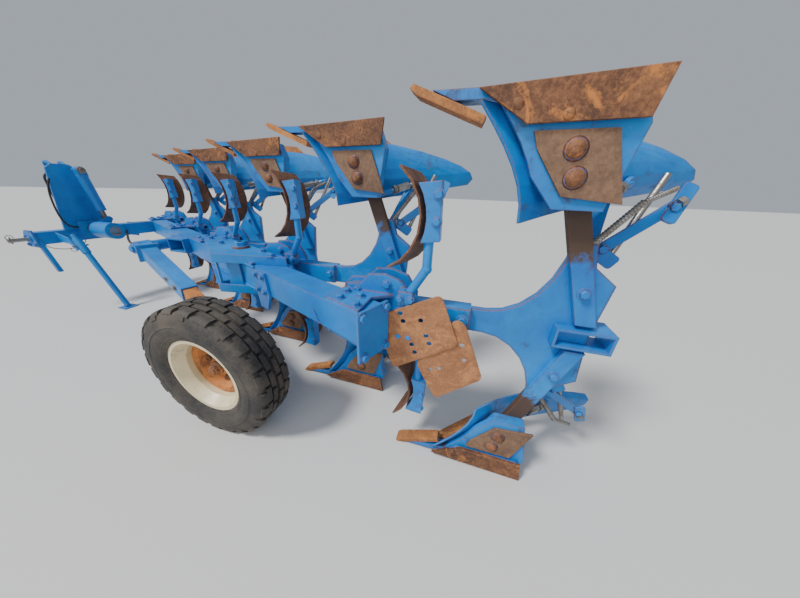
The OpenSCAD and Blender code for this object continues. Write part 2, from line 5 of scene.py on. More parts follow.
import json
import logging
import math
from dataclasses import dataclass
from enum import Enum
from functools import partial, partialmethod
from typing import Callable, Iterable, Mapping, NamedTuple, Sequence

import bmesh
import bpy
from mathutils import Matrix, Vector

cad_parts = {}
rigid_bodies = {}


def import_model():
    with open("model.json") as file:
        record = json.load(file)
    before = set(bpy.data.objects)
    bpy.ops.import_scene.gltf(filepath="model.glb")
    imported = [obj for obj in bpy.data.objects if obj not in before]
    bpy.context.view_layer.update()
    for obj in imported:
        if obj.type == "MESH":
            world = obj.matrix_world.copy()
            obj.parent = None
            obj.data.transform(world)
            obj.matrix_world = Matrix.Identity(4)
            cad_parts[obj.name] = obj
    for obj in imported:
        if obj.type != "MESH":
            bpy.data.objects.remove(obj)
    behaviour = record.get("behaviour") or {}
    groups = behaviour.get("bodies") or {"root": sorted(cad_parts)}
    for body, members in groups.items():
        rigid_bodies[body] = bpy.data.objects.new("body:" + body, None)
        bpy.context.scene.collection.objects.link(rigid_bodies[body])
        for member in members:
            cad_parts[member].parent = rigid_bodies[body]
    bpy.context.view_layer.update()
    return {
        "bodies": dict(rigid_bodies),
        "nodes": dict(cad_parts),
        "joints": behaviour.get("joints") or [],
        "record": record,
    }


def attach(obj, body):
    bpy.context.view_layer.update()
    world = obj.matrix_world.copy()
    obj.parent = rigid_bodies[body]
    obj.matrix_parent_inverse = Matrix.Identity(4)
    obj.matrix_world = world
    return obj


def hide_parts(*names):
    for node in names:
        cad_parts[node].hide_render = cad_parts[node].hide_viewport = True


LOG = logging.getLogger("plough")

Point = tuple[float, float, float]
Flat = tuple[float, float]
Colour = tuple[float, float, float]
Spot = Callable[[float, float, float], Vector]

LEFT, UP = Vector((0, 1, 0)), Vector((0, 0, 1))


class Slot(Enum):
    """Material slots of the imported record."""

    BLUE = "blue_paint"
    IRON = "worn_iron"
    STEEL = "bare_steel"
    CREAM = "cream_paint"
    TYRE = "tyre_rubber"
    HOSE = "hose_rubber"


class Side(Enum):
    """The upper set of bodies and its mirror image under the beam."""

    UPPER = 1
    LOWER = -1


@dataclass(frozen=True)
class Layout:
    """Sizes shared with the part's source, in metres."""

    bodies: int = 5
    pitch: float = 0.850
    furrow: float = 0.350
    beam_z: float = 0.805
    beam_off: float = 0.175
    arm_len: float = 0.860
    shift_x: float = 2.213
    shift_y: float = -0.6955
    wheel: Point = (1.700, 0.250, 0.3925)

    def place(self, x: float, y: float, z: float) -> Vector:
        """Gives a point of the plough's own frame in the row frame."""
        return Vector((x - self.shift_x, y - self.shift_y, z))

    def at_body(self, body: int, x: float, y: float, z: float, side: Side = Side.UPPER) -> Vector:
        """Gives a row frame point from its place ahead of a body's leg, to its left and off the beam."""
        back = self.bodies - body
        return self.place(back * self.pitch + x, -back * self.furrow + y, self.beam_z + side.value * z)

    def numbers(self) -> range:
        """Gives the bodies' numbers, from the front."""
        return range(1, self.bodies + 1)

    def beam_y(self, x: float) -> float:
        """Gives the y of the beam's middle line at a place along travel."""
        return self.beam_off - (x - self.arm_len) * self.furrow / self.pitch

    def skew(self) -> float:
        """Gives the beam's angle to the travel direction."""
        return math.atan(self.furrow / self.pitch)


LAYOUT = Layout()


def add_object(name: str, data: bpy.types.ID) -> bpy.types.Object:
    """Adds an object to the scene.

    Args:
        name: Its name.
        data: Its mesh, curve, lamp or camera.

    Returns:
        The object, at the origin.
    """
    obj = bpy.data.objects.new(name, data)
    bpy.context.scene.collection.objects.link(obj)
    return obj


def only_verts(geom: Iterable[object]) -> list[bmesh.types.BMVert]:
    """Picks the vertices out of what an operator gave."""
    return [part for part in geom if isinstance(part, bmesh.types.BMVert)]


def edges_of(verts: Iterable[bmesh.types.BMVert]) -> set[bmesh.types.BMEdge]:
    """Gives all edges that meet some vertices."""
    return {e for v in verts for e in v.link_edges}


def lies_above(edge: bmesh.types.BMEdge, at: Vector, axis: Vector, height: float) -> bool:
    """Tells whether an edge lies above a height over a point, along an axis."""
    return all((v.co - at).dot(axis) > height for v in edge.verts)


class Signal:
    """A shader socket that can be used in Python expressions."""

    def __init__(self, graph: Graph, socket: bpy.types.NodeSocket) -> None:
        """Wraps a socket of a graph."""
        self.graph = graph
        self.socket = socket

    def _math(self, operation: str, other: Signal | float, swap: bool = False) -> Signal:
        """Adds one Math node; swap lets the values change places."""
        first, second = (other, self) if swap else (self, other)
        return self.graph.math(operation, first, second)

    __add__ = __radd__ = partialmethod(_math, "ADD")
    __mul__ = __rmul__ = partialmethod(_math, "MULTIPLY")
    __sub__ = partialmethod(_math, "SUBTRACT")
    __rsub__ = partialmethod(_math, "SUBTRACT", swap=True)
    most = partialmethod(_math, "MAXIMUM")

    def clamp(self) -> Signal:
        """Keeps the value between 0 and 1."""
        return self.graph.ramp(self, 0.0, 1.0)


class Graph:
    """The node tree of one material."""

    def __init__(self, name: str) -> None:
        """Starts a material with a Principled shader.

        Args:
            name: The material's name.
        """
        self.material = bpy.data.materials.new(name)
        self.material.use_nodes = True
        self.tree = self.material.node_tree
        self.shader = next(n for n in self.tree.nodes if n.type == "BSDF_PRINCIPLED")
        self.coords = self.tree.nodes.new("ShaderNodeTexCoord").outputs["Object"]

    def node(self, kind: str, settings: Mapping[str, object],
             inputs: Mapping[str | int, object]) -> bpy.types.Node:
        """Adds a node.

        Args:
            kind: The node's type.
            settings: Attributes that are set first.
            inputs: Values, signals or sockets that feed it, by name or number.

        Returns:
            The node.
        """
        made = self.tree.nodes.new(kind)
        for key, value in settings.items():
            setattr(made, key, value)
        for key, value in inputs.items():
            self.feed(made.inputs[key], value)
        return made

    def feed(self, socket: bpy.types.NodeSocket, value: object) -> None:
        """Links a signal or a socket to an input, or sets the input's value.

        Args:
            socket: The input.
            value: What feeds it.
        """
        if isinstance(value, Signal):
            value = value.socket
        if isinstance(value, bpy.types.NodeSocket):
            self.tree.links.new(value, socket)
        elif socket.type == "RGBA":
            socket.default_value = (*value, 1.0)
        else:
            socket.default_value = value

    def math(self, operation: str, first: Signal | float, second: Signal | float = 0.0) -> Signal:
        """Adds a Math node on two values."""
        made = self.node("ShaderNodeMath", {"operation": operation}, {0: first, 1: second})
        return Signal(self, made.outputs[0])

    def ramp(self, value: Signal, low: float, high: float) -> Signal:
        """Maps a value from a range to 0..1, clamped.

        Args:
            value: The value.
            low: What becomes 0.
            high: What becomes 1.

        Returns:
            The mapped value.
        """
        made = self.node("ShaderNodeMapRange", {"clamp": True},
                         {"Value": value, "From Min": low, "From Max": high})
        return Signal(self, made.outputs["Result"])

    def mix(self, factor: Signal | float, first: Signal | Colour, second: Signal | Colour) -> Signal:
        """Mixes two colours.

        Args:
            factor: The second colour's share.
            first: The first colour.
            second: The second colour.

        Returns:
            The mixed colour.
        """
        made = self.node("ShaderNodeMix", {"data_type": "RGBA", "clamp_factor": True},
                         {0: factor, 6: first, 7: second})
        return Signal(self, made.outputs[2])

    def noise(self, scale: float, detail: float, rough: float, warp: float = 0.0,
              stretch: Point = (1.0, 1.0, 1.0), move: Point = (0.0, 0.0, 0.0)) -> Signal:
        """Adds a noise pattern, about 0.25 to 0.75, on Object coordinates.

        Args:
            scale: How many patches go to a metre.
            detail: How many finer layers it has.
            rough: How strong those are.
            warp: How far the pattern is twisted.
            stretch: The pattern's scale along each axis.
            move: The pattern's shift, so that no two are alike.

        Returns:
            The pattern.
        """
        spot = self.node("ShaderNodeMapping", {"vector_type": "POINT"},
                         {"Vector": self.coords, "Scale": stretch, "Location": move})
        made = self.node("ShaderNodeTexNoise", {}, {
            "Vector": spot.outputs["Vector"], "Scale": scale, "Detail": detail, "Roughness": rough,
            "Distortion": warp})
        return Signal(self, made.outputs["Fac"])

    def _normal(self) -> bpy.types.NodeSocket:
        """Gives the surface's own normal."""
        return self.node("ShaderNodeNewGeometry", {}, {}).outputs["Normal"]

    def _rise(self, vector: bpy.types.NodeSocket) -> Signal:
        """Gives the Z of a vector."""
        return Signal(self, self.node("ShaderNodeSeparateXYZ", {}, {0: vector}).outputs["Z"])

    def from_beam(self) -> Signal:
        """Gives the height above or below the beam's middle, in metres."""
        return self.math("ABSOLUTE", self._rise(self.coords) - LAYOUT.beam_z)

    def upward(self) -> Signal:
        """Tells how far a face looks up, from -1 to 1."""
        return self._rise(self._normal())

    def edge(self, radius: float) -> tuple[Signal, bpy.types.NodeSocket]:
        """Finds edges by comparing a rounded normal with the real one.

        Args:
            radius: How far the rounding reaches.

        Returns:
            A mask that is 1 on edges, and the rounded normal.
        """
        rounded = self.node("ShaderNodeBevel", {"samples": 4}, {"Radius": radius}).outputs["Normal"]
        dot = self.node("ShaderNodeVectorMath", {"operation": "DOT_PRODUCT"}, {0: rounded, 1: self._normal()})
        return self.ramp(1.0 - Signal(self, dot.outputs["Value"]), 0.01, 0.18), rounded

    def bump(self, height: Signal, strength: float, distance: float,
             base: bpy.types.NodeSocket | None = None) -> Signal:
        """Adds a Bump node.

        Args:
            height: The height that it reads.
            strength: Its strength.
            distance: The height of a full step, in metres.
            base: The normal under it, or None for the surface's own.

        Returns:
            The bumped normal.
        """
        inputs = {"Strength": strength, "Distance": distance, "Height": height}
        if base is not None:
            inputs["Normal"] = base
        return Signal(self, self.node("ShaderNodeBump", {}, inputs).outputs["Normal"])

    def finish(self, **sockets: object) -> bpy.types.Material:
        """Feeds the shader's sockets.

        Args:
            sockets: What feeds each, by name, with _ for a space.

        Returns:
            The material.
        """
        for key, value in sockets.items():
            self.feed(self.shader.inputs[key.replace("_", " ")], value)
        return self.material


@dataclass(frozen=True)
class EnamelFinish:
    """Sprayed enamel that has faded, chipped at its edges and gathered soil."""

    name: str
    fresh: Colour = (0.000, 0.145, 0.500)
    faded: Colour = (0.000, 0.290, 0.740)
    rust: Colour = (0.15, 0.050, 0.018)
    rust_light: Colour = (0.34, 0.13, 0.045)
    stain: Colour = (0.20, 0.12, 0.08)
    dust: Colour = (0.36, 0.31, 0.25)
    soil: Colour = (0.070, 0.040, 0.026)
    wear: float = 0.5
    dusty: float = 0.06
    soiled: float = 0.12
    edge_reach: float = 0.006
    gloss: float = 0.30
    soil_from: float = 0.0

    def build(self) -> bpy.types.Material:
        """Builds the enamel's material.

        Returns:
            The material.
        """
        g = Graph(self.name)
        broad = g.noise(2.3, 3.0, 0.6)
        patch = g.noise(9.0, 5.0, 0.68, warp=0.8, move=(1.0, 4.0, 9.0))
        fine = g.noise(38.0, 6.0, 0.7)
        specks = g.noise(120.0, 4.0, 0.75, move=(3.0, 1.0, 2.0))
        streaks = g.noise(14.0, 5.0, 0.65, stretch=(1.0, 1.0, 0.16), move=(5.0, 0.0, 0.0))
        paint = g.mix(g.ramp(broad * 0.6 + streaks * 0.4, 0.38, 0.66), self.fresh, self.faded)
        paint = g.mix(g.ramp(streaks * 0.5 + patch * 0.5, 0.40, 0.56) * 0.30, paint, self.deep())
        edge, rounded = g.edge(self.edge_reach)
        spared = 0.98 - 0.3 * self.wear
        chip = g.ramp(edge * 0.62 + fine * 0.52 + specks * 0.16, spared, spared + 0.08)
        bare = chip.most(g.ramp(fine * 0.6 + specks * 0.4 + broad * 0.15, 0.690, 0.735))
        rust = g.mix(g.ramp(specks, 0.35, 0.65), self.rust, self.rust_light)
        halo = g.ramp(edge * 0.5 + fine * 0.5 + streaks * 0.2, 0.58, 0.90) * 0.50
        clean = 0.70 - 0.42 * self.soiled
        muddy = g.ramp(patch * 0.62 + fine * 0.25 + streaks * 0.13, clean, clean + 0.10)
        if self.soil_from:
            reach = g.from_beam() + (patch - 0.5) * 0.30 + (fine - 0.5) * 0.10
            muddy = muddy * g.ramp(reach, self.soil_from, self.soil_from + 0.06)
        stained = g.mix(muddy * min(1.0, 0.35 + self.soiled), g.mix(halo, paint, self.stain), self.soil)
        up = g.ramp(g.upward(), 0.3, 0.95)
        dusting = (up * 0.8 + 0.2) * g.ramp(fine * 0.5 + broad * 0.5, 0.40, 0.72) * self.dusty
        return g.finish(
            Base_Color=g.mix(bare, g.mix(dusting, stained, self.dust), rust),
            Roughness=(self.gloss + fine * 0.18 + dusting * 0.5 + bare * 0.38 + muddy * 0.35).clamp(),
            Normal=g.bump(fine * 0.25 - bare * 0.6 + specks * 0.08 + muddy * 0.4, 0.35, 0.0012, rounded),
            Metallic=bare * 0.25)

    def deep(self) -> Colour:
        """Gives the paint's darker tone, where rain has run."""
        return tuple(0.55 * part for part in self.fresh)


@dataclass(frozen=True)
class IronFinish:
    """Soil-polished iron gone brown with flash rust."""

    name: str
    rust: Colour = (0.205, 0.082, 0.036)
    dark: Colour = (0.060, 0.030, 0.020)
    light: Colour = (0.40, 0.185, 0.080)
    bright: Colour = (0.62, 0.23, 0.055)
    rubbed: Colour = (0.56, 0.27, 0.12)
    orange: float = 0.35
    metal: float = 0.25
    edge_reach: float = 0.004

    def build(self) -> bpy.types.Material:
        """Builds the iron's material.

        Returns:
            The material.
        """
        g = Graph(self.name)
        broad = g.noise(6.5, 5.0, 0.68, warp=0.5)
        fine = g.noise(85.0, 8.0, 0.78)
        pits = g.noise(210.0, 3.0, 0.7, move=(2.0, 7.0, 0.0))
        scratch = g.noise(60.0, 2.0, 0.5, stretch=(0.10, 1.0, 1.0))
        blush = g.noise(7.0, 6.0, 0.7, warp=1.2, move=(4.0, 2.0, 6.0))
        edge, rounded = g.edge(self.edge_reach)
        tone = g.mix(g.ramp(broad * 0.7 + fine * 0.3, 0.34, 0.60), self.dark, self.rust)
        tone = g.mix(g.ramp(fine * 0.7 + broad * 0.3, 0.46, 0.66) * 0.75, tone, self.light)
        tone = g.mix(g.ramp(pits, 0.60, 0.72) * 0.55, tone, self.dark)
        least = 0.66 - 0.30 * self.orange
        tone = g.mix(g.ramp(blush * 0.8 + fine * 0.2, least, least + 0.09) * 0.8, tone, self.bright)
        return g.finish(
            Base_Color=g.mix(edge * 0.40, tone, self.rubbed),
            Roughness=(0.52 + fine * 0.35 + pits * 0.1).clamp(),
            Normal=g.bump(fine * 0.5 + pits * 0.5 + scratch * 0.25, 0.5, 0.0014, rounded),
            Metallic=self.metal)


@dataclass(frozen=True)
class SteelFinish:
    """Turned or plated steel with grease, dirt and light rust."""

    name: str
    bright: Colour = (0.36, 0.34, 0.31)
    dirt: Colour = (0.12, 0.085, 0.06)
    edge_reach: float = 0.002

    def build(self) -> bpy.types.Material:
        """Builds the steel's material.

        Returns:
            The material.
        """
        g = Graph(self.name)
        broad = g.noise(9.0, 5.0, 0.6)
        fine = g.noise(90.0, 6.0, 0.7)
        dirty = g.ramp(broad * 0.6 + fine * 0.4, 0.42, 0.62)
        _, rounded = g.edge(self.edge_reach)
        return g.finish(
            Base_Color=g.mix(dirty, self.bright, self.dirt),
            Roughness=(0.30 + dirty * 0.40).clamp(),
            Normal=g.bump(fine, 0.3, 0.0008, rounded),
            Metallic=1.0 - dirty * 0.6)


@dataclass(frozen=True)
class RubberFinish:
    """Weathered rubber with pale dried soil on it."""

    name: str
    base: Colour = (0.022, 0.022, 0.023)
    soil: Colour = (0.21, 0.165, 0.115)
    soiled: float = 0.4

    def build(self) -> bpy.types.Material:
        """Builds the rubber's material.

        Returns:
            The material.
        """
        g = Graph(self.name)
        broad = g.noise(6.0, 4.0, 0.6)
        fine = g.noise(80.0, 6.0, 0.7)
        soil = g.ramp(broad * 0.55 + fine * 0.45, 0.40, 0.64) * self.soiled
        return g.finish(Base_Color=g.mix(soil, self.base, self.soil), Roughness=(0.62 + fine * 0.25).clamp(),
                        Normal=g.bump(fine, 0.35, 0.0010))


class Part(NamedTuple):
    """A piece to be made. Edges sharper than its angle, in degrees, stay sharp; it may replace a CAD node."""

    name: str
    mesh: bmesh.types.BMesh
    slot: Slot
    body: str = "frame"
    smooth_angle: float = 35.0
    stands_for: str = ""
    finish: bpy.types.Material | None = None


class Workshop:
    """Turns bmeshes into named pieces that ride on a body."""

    def __init__(self, finishes: Mapping[Slot, bpy.types.Material]) -> None:
        """Keeps the finishes by slot."""
        self.finishes = finishes
        self.made: list[str] = []

    def make(self, part: Part) -> None:
        """Makes a piece, dresses it and sets it on its body.

        Args:
            part: What it is made of; its bmesh is freed.
        """
        data = bpy.data.meshes.new(part.name)
        part.mesh.to_mesh(data)
        part.mesh.free()
        data.shade_smooth()
        data.set_sharp_from_angle(angle=math.radians(part.smooth_angle))
        data.materials.append(part.finish or self.finishes[part.slot])
        obj = add_object(part.name, data)
        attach(obj, part.body)
        if part.stands_for:
            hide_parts(part.stands_for)
        self.made.append(part.name)
        LOG.info("piece %s: %d faces, rides on %s", part.name, len(data.polygons), part.body)

    def dress(self, frame: dict, slots: Mapping[str, str], special: Mapping[str, bpy.types.Material]) -> None:
        """Gives each CAD node its own finish, or that of its slot.

        Args:
            slots: Node name to material slot name.
            special: Finishes of nodes that differ from their slot's.
        """
        for node, obj in frame["nodes"].items():
            finish = special.get(node, self.finishes[Slot(slots[node])])
            if obj.material_slots:
                for holder in obj.material_slots:
                    holder.material = finish
            else:
                obj.data.materials.append(finish)
        LOG.info("dressed %d nodes of the frame", len(frame["nodes"]))


class Hex(NamedTuple):
    """A hexagon head: its width across the flats and its height, in metres."""

    across: float = 0.030
    tall: float = 0.014


class Gathered:
    """Simple shapes gathered into one mesh."""

    def __init__(self) -> None:
        """Starts an empty mesh."""
        self.mesh = bmesh.new()

    @staticmethod
    def _stand(axis: Vector, at: Vector, roll: float = 0.0) -> Matrix:
        """Gives the matrix that sets a shape whose axis is Z on a point, along an axis, turned by roll."""
        turn = axis.to_track_quat("Z", "Y").to_matrix().to_4x4()
        return Matrix.Translation(at) @ turn @ Matrix.Rotation(roll, 4, "Z")

    def _cone(self, stand: Matrix, foot: float, top: float, radii: Flat,
              segments: int) -> list[bmesh.types.BMVert]:
        """Adds a closed cone or cylinder.

        Args:
            stand: The matrix that sets it in place.
            foot: Where it starts along its axis.
            top: Where it ends.
            radii: Its radii at foot and top.
            segments: The number of its sides.

        Returns:
            Its vertices.
        """
        shape = stand @ Matrix.Translation((0, 0, (foot + top) / 2))
        return bmesh.ops.create_cone(
            self.mesh, cap_ends=True, cap_tris=False, segments=segments, radius1=radii[0], radius2=radii[1],
            depth=top - foot, matrix=shape)["verts"]

    def _ease(self, verts: Iterable[bmesh.types.BMVert], chosen: Callable[[bmesh.types.BMEdge], bool],
              offset: float, segments: int) -> None:
        """Rounds off some edges of a shape.

        Args:
            verts: The shape's vertices.
            chosen: Tells which edges are rounded.
            offset: How far the rounding reaches.
            segments: The number of its steps.
        """
        edges = [e for e in edges_of(verts) if chosen(e)]
        bmesh.ops.bevel(self.mesh, geom=edges, offset=offset, segments=segments, profile=0.5, affect="EDGES",
                        material=-1, clamp_overlap=True)

    def _rod(self, start: Vector, end: Vector, radius: float, segments: int,
             cuts: int) -> list[tuple[bmesh.types.BMVert, Vector, float]]:
        """Adds a round rod, cut into slices.

        Args:
            start: Its first end.
            end: Its other end.
            radius: Its radius.
            segments: The number of its sides.
            cuts: How many cuts go across it.

        Returns:
            Each vertex of a cut, with its foot on the axis and that foot's distance from the start.
        """
        way = (end - start).normalized()
        span = (end - start).length
        ends = self._cone(self._stand(way, start), 0.0, span, (radius, radius), segments)
        if not cuts:
            return []
        sides = [e for e in edges_of(ends) if abs((e.verts[1].co - e.verts[0].co).dot(way)) > 0.5 * span]
        grown = bmesh.ops.subdivide_edges(self.mesh, edges=sides, cuts=cuts, use_grid_fill=True)["geom_inner"]
        rows = [(v, (v.co - start).dot(way)) for v in only_verts(grown)]
        return [(v, start + way * along, along) for v, along in rows]


class Fasteners(Gathered):
    """Bolts, nuts, heads, pins, bars and rods."""

    def bolt(self, at: Vector, axis: Vector, size: Hex = Hex(), roll: float = 0.3,
             washer: bool = True) -> None:
        """Adds a bolt's head.

        Args:
            at: The place on the surface.
            axis: The way the head stands out.
            size: The head's size.
            roll: The head's turn about its axis.
            washer: Whether a washer lies under it.
        """
        base = 0.003 if washer else 0.0
        if washer:
            self._cone(self._stand(axis, at), -0.001, base, (size.across * 0.80, size.across * 0.77), 20)
        radius = size.across / math.sqrt(3.0)
        made = self._cone(self._stand(axis, at, roll), base, base + size.tall, (radius, radius), 6)
        top = partial(lies_above, at=at, axis=axis, height=base + size.tall * 0.9)
        self._ease(made, top, size.across * 0.07, 1)

    def bar(self, start: Vector, end: Vector, width: float, thick: float) -> None:
        """Adds a flat bar with rounded ends, on edge across the machine.

        Args:
            start: Its first end.
            end: Its other end.
            width: Its width.
            thick: Its thickness across the machine.
        """
        along = (end - start).normalized()
        across = along.cross(LEFT).normalized()
        out = across.cross(along)
        turn = Matrix((along, across, out)).transposed().to_4x4()
        size = Matrix.Diagonal(((end - start).length + width * 0.8, width, thick, 1.0))
        spot = Matrix.Translation((start + end) / 2) @ turn @ size
        verts = bmesh.ops.create_cube(self.mesh, size=1.0, matrix=spot)["verts"]
        self._ease(verts, lambda e: abs((e.verts[1].co - e.verts[0].co).normalized().dot(out)) > 0.9,
                   width * 0.24, 4)

    def dome(self, at: Vector, axis: Vector, radius: float, tall: float) -> None:
        """Adds a flat head with a sloping rim."""
        self._cone(self._stand(axis, at), 0.0, tall, (radius, radius * 0.7), 18)

    def cap(self, at: Vector, axis: Vector, radius: float, tall: float) -> None:
        """Adds a round domed head, half sunk in its plate."""
        bmesh.ops.create_uvsphere(self.mesh, u_segments=22, v_segments=10, radius=1.0,
                                  matrix=self._stand(axis, at) @ Matrix.Diagonal((radius, radius, tall, 1.0)))

    def ring(self, at: Vector, axis: Vector, radius: float, wire: float) -> None:
        """Adds a ring of round wire.

        Args:
            at: Its middle.
            axis: The axis that it goes round.
            radius: Its radius.
            wire: The wire's radius.
        """
        turned = Matrix.Translation((radius, 0, 0)) @ Matrix.Rotation(math.pi / 2, 4, "X")
        spot = self._stand(axis, at) @ turned
        verts = bmesh.ops.create_circle(
            self.mesh, cap_ends=False, segments=8, radius=wire, matrix=spot)["verts"]
        bmesh.ops.spin(self.mesh, geom=verts + list(edges_of(verts)), cent=at, axis=axis, angle=math.tau,
                       steps=24, use_merge=True, use_duplicate=False)

    def stud(self, at: Vector, axis: Vector, radius: float, reach: float, nut: float = 0.0,
             segments: int = 16) -> None:
        """Adds a round end that stands out, with a nut round its foot.

        Args:
            at: The place on the surface.
            axis: The way it stands out.
            radius: Its radius.
            reach: Its length.
            nut: The nut's width across its flats, or 0 for none.
            segments: The number of its sides.
        """
        if nut:
            self.bolt(at, axis, Hex(nut, nut * 0.45))
        ends = self._cone(self._stand(axis, at), -0.002, reach, (radius, radius), segments)
        self._ease(ends, partial(lies_above, at=at, axis=axis, height=reach * 0.9), radius * 0.16, 2)

    def rod(self, start: Vector, end: Vector, radius: float, segments: int = 14, rings: int = 0) -> None:
        """Adds a round rod between two points, threaded where rings are asked for.

        Args:
            start: Its first end.
            end: Its other end.
            radius: Its radius.
            segments: The number of its sides.
            rings: How many turns of thread it shows.
        """
        span = (end - start).length
        step = span / max(1, rings * 2)
        for vert, foot, along in self._rod(start, end, radius, segments, max(0, rings * 2 - 1)):
            if round(along / step) % 2 and 0.2 * step < along < span - 0.2 * step:
                vert.co = foot + (vert.co - foot) * 0.84


class BeadLine(Gathered):
    """Weld beads laid along straight seams."""

    def __init__(self, radius: float = 0.005, pitch: float = 0.010) -> None:
        """Starts an empty mesh for beads of one size.

        Args:
            radius: The beads' radius.
            pitch: The distance from ripple to ripple.
        """
        super().__init__()
        self.radius = radius
        self.pitch = pitch

    def lay(self, start: Vector, end: Vector) -> None:
        """Lays a rippled bead from one point to another.

        Args:
            start: Its first end.
            end: Its other end.
        """
        cuts = max(2, int((end - start).length / self.pitch))
        for vert, foot, along in self._rod(start, end, self.radius, 6, cuts):
            ripple = 0.18 * math.sin(along / self.pitch * math.pi * 1.3) + 0.10 * math.sin(along * 310.0)
            vert.co = foot + (vert.co - foot) * (1.0 + ripple)


@dataclass(frozen=True)
class BoardShape:
    """The mouldboard's front surface, as the part's source gives it, in metres."""

    shin_foot: Point = (0.500, 0.098, 0.752)
    shin_sweep: float = 0.170
    shin_drop: float = 0.330
    tail_foot: Point = (0.120, -0.215, 0.742)
    tail_sweep: float = 0.466
    tail_reach: float = 0.350
    tail_drop: float = 0.183
    thick: float = 0.009

    def shin(self, v: float) -> Vector:
        """Gives a point on the shin, from the share up to the tip."""
        x, y, z = self.shin_foot
        return Vector((x - self.shin_sweep * math.sin(math.radians(90 * v)), y, z - self.shin_drop * v))

    def tail(self, v: float) -> Vector:
        """Gives a point on the tail, from the share up to the tip.

        Args:
            v: Its share of the way up.

        Returns:
            The point.
        """
        x, y, z = self.tail_foot
        bulge = math.sin(math.radians(110 * v)) ** 0.9 if v > 0 else 0.0
        y -= (self.tail_reach + y) * v + 0.030 * math.sin(math.radians(180 * v))
        return Vector((x - self.tail_sweep * bulge, y, z - self.tail_drop * v))

    def at(self, u: float, v: float) -> Vector:
        """Gives a point on the front face.

        Args:
            u: Its share of the way from the shin to the tail.
            v: Its share of the way from the share to the tip.

        Returns:
            The point.
        """
        a, c = self.shin(v), self.tail(v)
        b = (a + c) / 2 + Vector((-0.010 + 0.060 * v, -0.110 * v, 0.0))
        return a * (1 - u) ** 2 + b * (2 * u * (1 - u)) + c * u ** 2

    def back(self, u: float, v: float, step: float = 0.01) -> Vector:
        """Gives the direction from the front face to the back.

        Args:
            u: The point's share of the way from the shin to the tail.
            v: Its share of the way from the share to the tip.
            step: How far apart the face is felt.

        Returns:
            The direction, of length 1.
        """
        rise = self.at(u, v + step) - self.at(u, v - step)
        run = self.at(u + step, v) - self.at(u - step, v)
        return rise.cross(run).normalized()


@dataclass
class BodyHardware:
    """Bolts, domed heads and stay screws of the plough bodies."""

    landside_face: float = 0.124
    landside_spots: tuple[Flat, ...] = ((0.395, 0.737), (0.264, 0.709))
    wear_face: float = 0.110
    wear_spots: tuple[Flat, ...] = ((0.221, 0.631), (0.203, 0.558))
    board: BoardShape = BoardShape()
    board_spots: tuple[Flat, ...] = ((0.10, 0.25), (0.10, 0.75), (0.30, 0.12), (0.62, 0.75), (0.50, 0.90))
    arm_bolt: Point = (0.452, 0.040, 0.0)
    leg_bolt: Point = (0.045, 0.045, 0.190)
    flat_stay_bolt: Point = (0.048, -0.016, 0.345)
    stay_foot: Point = (0.140, 0.029, 0.480)
    stay_grip: Flat = (0.62, 0.75)
    stay_thread: Flat = (0.30, 0.86)
    stay_nuts: tuple[tuple[float, Hex], ...] = (
        (0.36, Hex(0.040, 0.022)), (0.44, Hex(0.036, 0.075)), (0.72, Hex(0.040, 0.022)))

    def parts(self) -> list[Part]:
        """Builds the hardware of both sets.

        Returns:
            The pieces to be made.
        """
        heads, bolts, stays, rings = Fasteners(), Fasteners(), Fasteners(), Fasteners()
        for body in LAYOUT.numbers():
            bolts.bolt(LAYOUT.at_body(body, *self.arm_bolt), LEFT, Hex(0.036, 0.016), 0.5)
            for side in Side:
                spot = partial(LAYOUT.at_body, body, side=side)
                for x, z in self.landside_spots:
                    heads.dome(spot(x, self.landside_face, z), LEFT, 0.015, 0.003)
                for x, z in self.wear_spots:
                    rings.dome(spot(x, self.wear_face, z), LEFT, 0.033, 0.0010)
                    heads.cap(spot(x, self.wear_face, z), LEFT, 0.026, 0.016)
                bolts.bolt(spot(*self.leg_bolt), LEFT, Hex(0.030, 0.016), 0.2)
                for u, v in self.board_spots:
                    way = -self.board.back(u, v)
                    way.z *= side.value
                    heads.dome(spot(*self.board.at(u, v)), way, 0.013, 0.003)
                self._stay(stays, spot)
        return [Part("domed_heads", heads.mesh, Slot.IRON), Part("leg_bolts", bolts.mesh, Slot.BLUE),
                Part("paint_rings", rings.mesh, Slot.BLUE), Part("stay_screws", stays.mesh, Slot.STEEL)]

    def _stay(self, stays: Fasteners, spot: Spot) -> None:
        """Adds the turnbuckle and thread of a board's round stay, and the flat stay's bolt.

        Args:
            stays: The mesh that they join.
            spot: Gives points of their body.
        """
        end = self.board.at(*self.stay_grip) + self.board.back(*self.stay_grip) * (self.board.thick + 0.016)
        foot, head = spot(*self.stay_foot), spot(*end)
        start, stop = (foot.lerp(head, share) for share in self.stay_thread)
        stays.rod(start, stop, 0.0135, rings=16)
        for share, size in self.stay_nuts:
            stays.bolt(foot.lerp(head, share), (head - foot).normalized(), size, 0.2, False)
        stays.bolt(spot(*self.flat_stay_bolt), -LEFT)


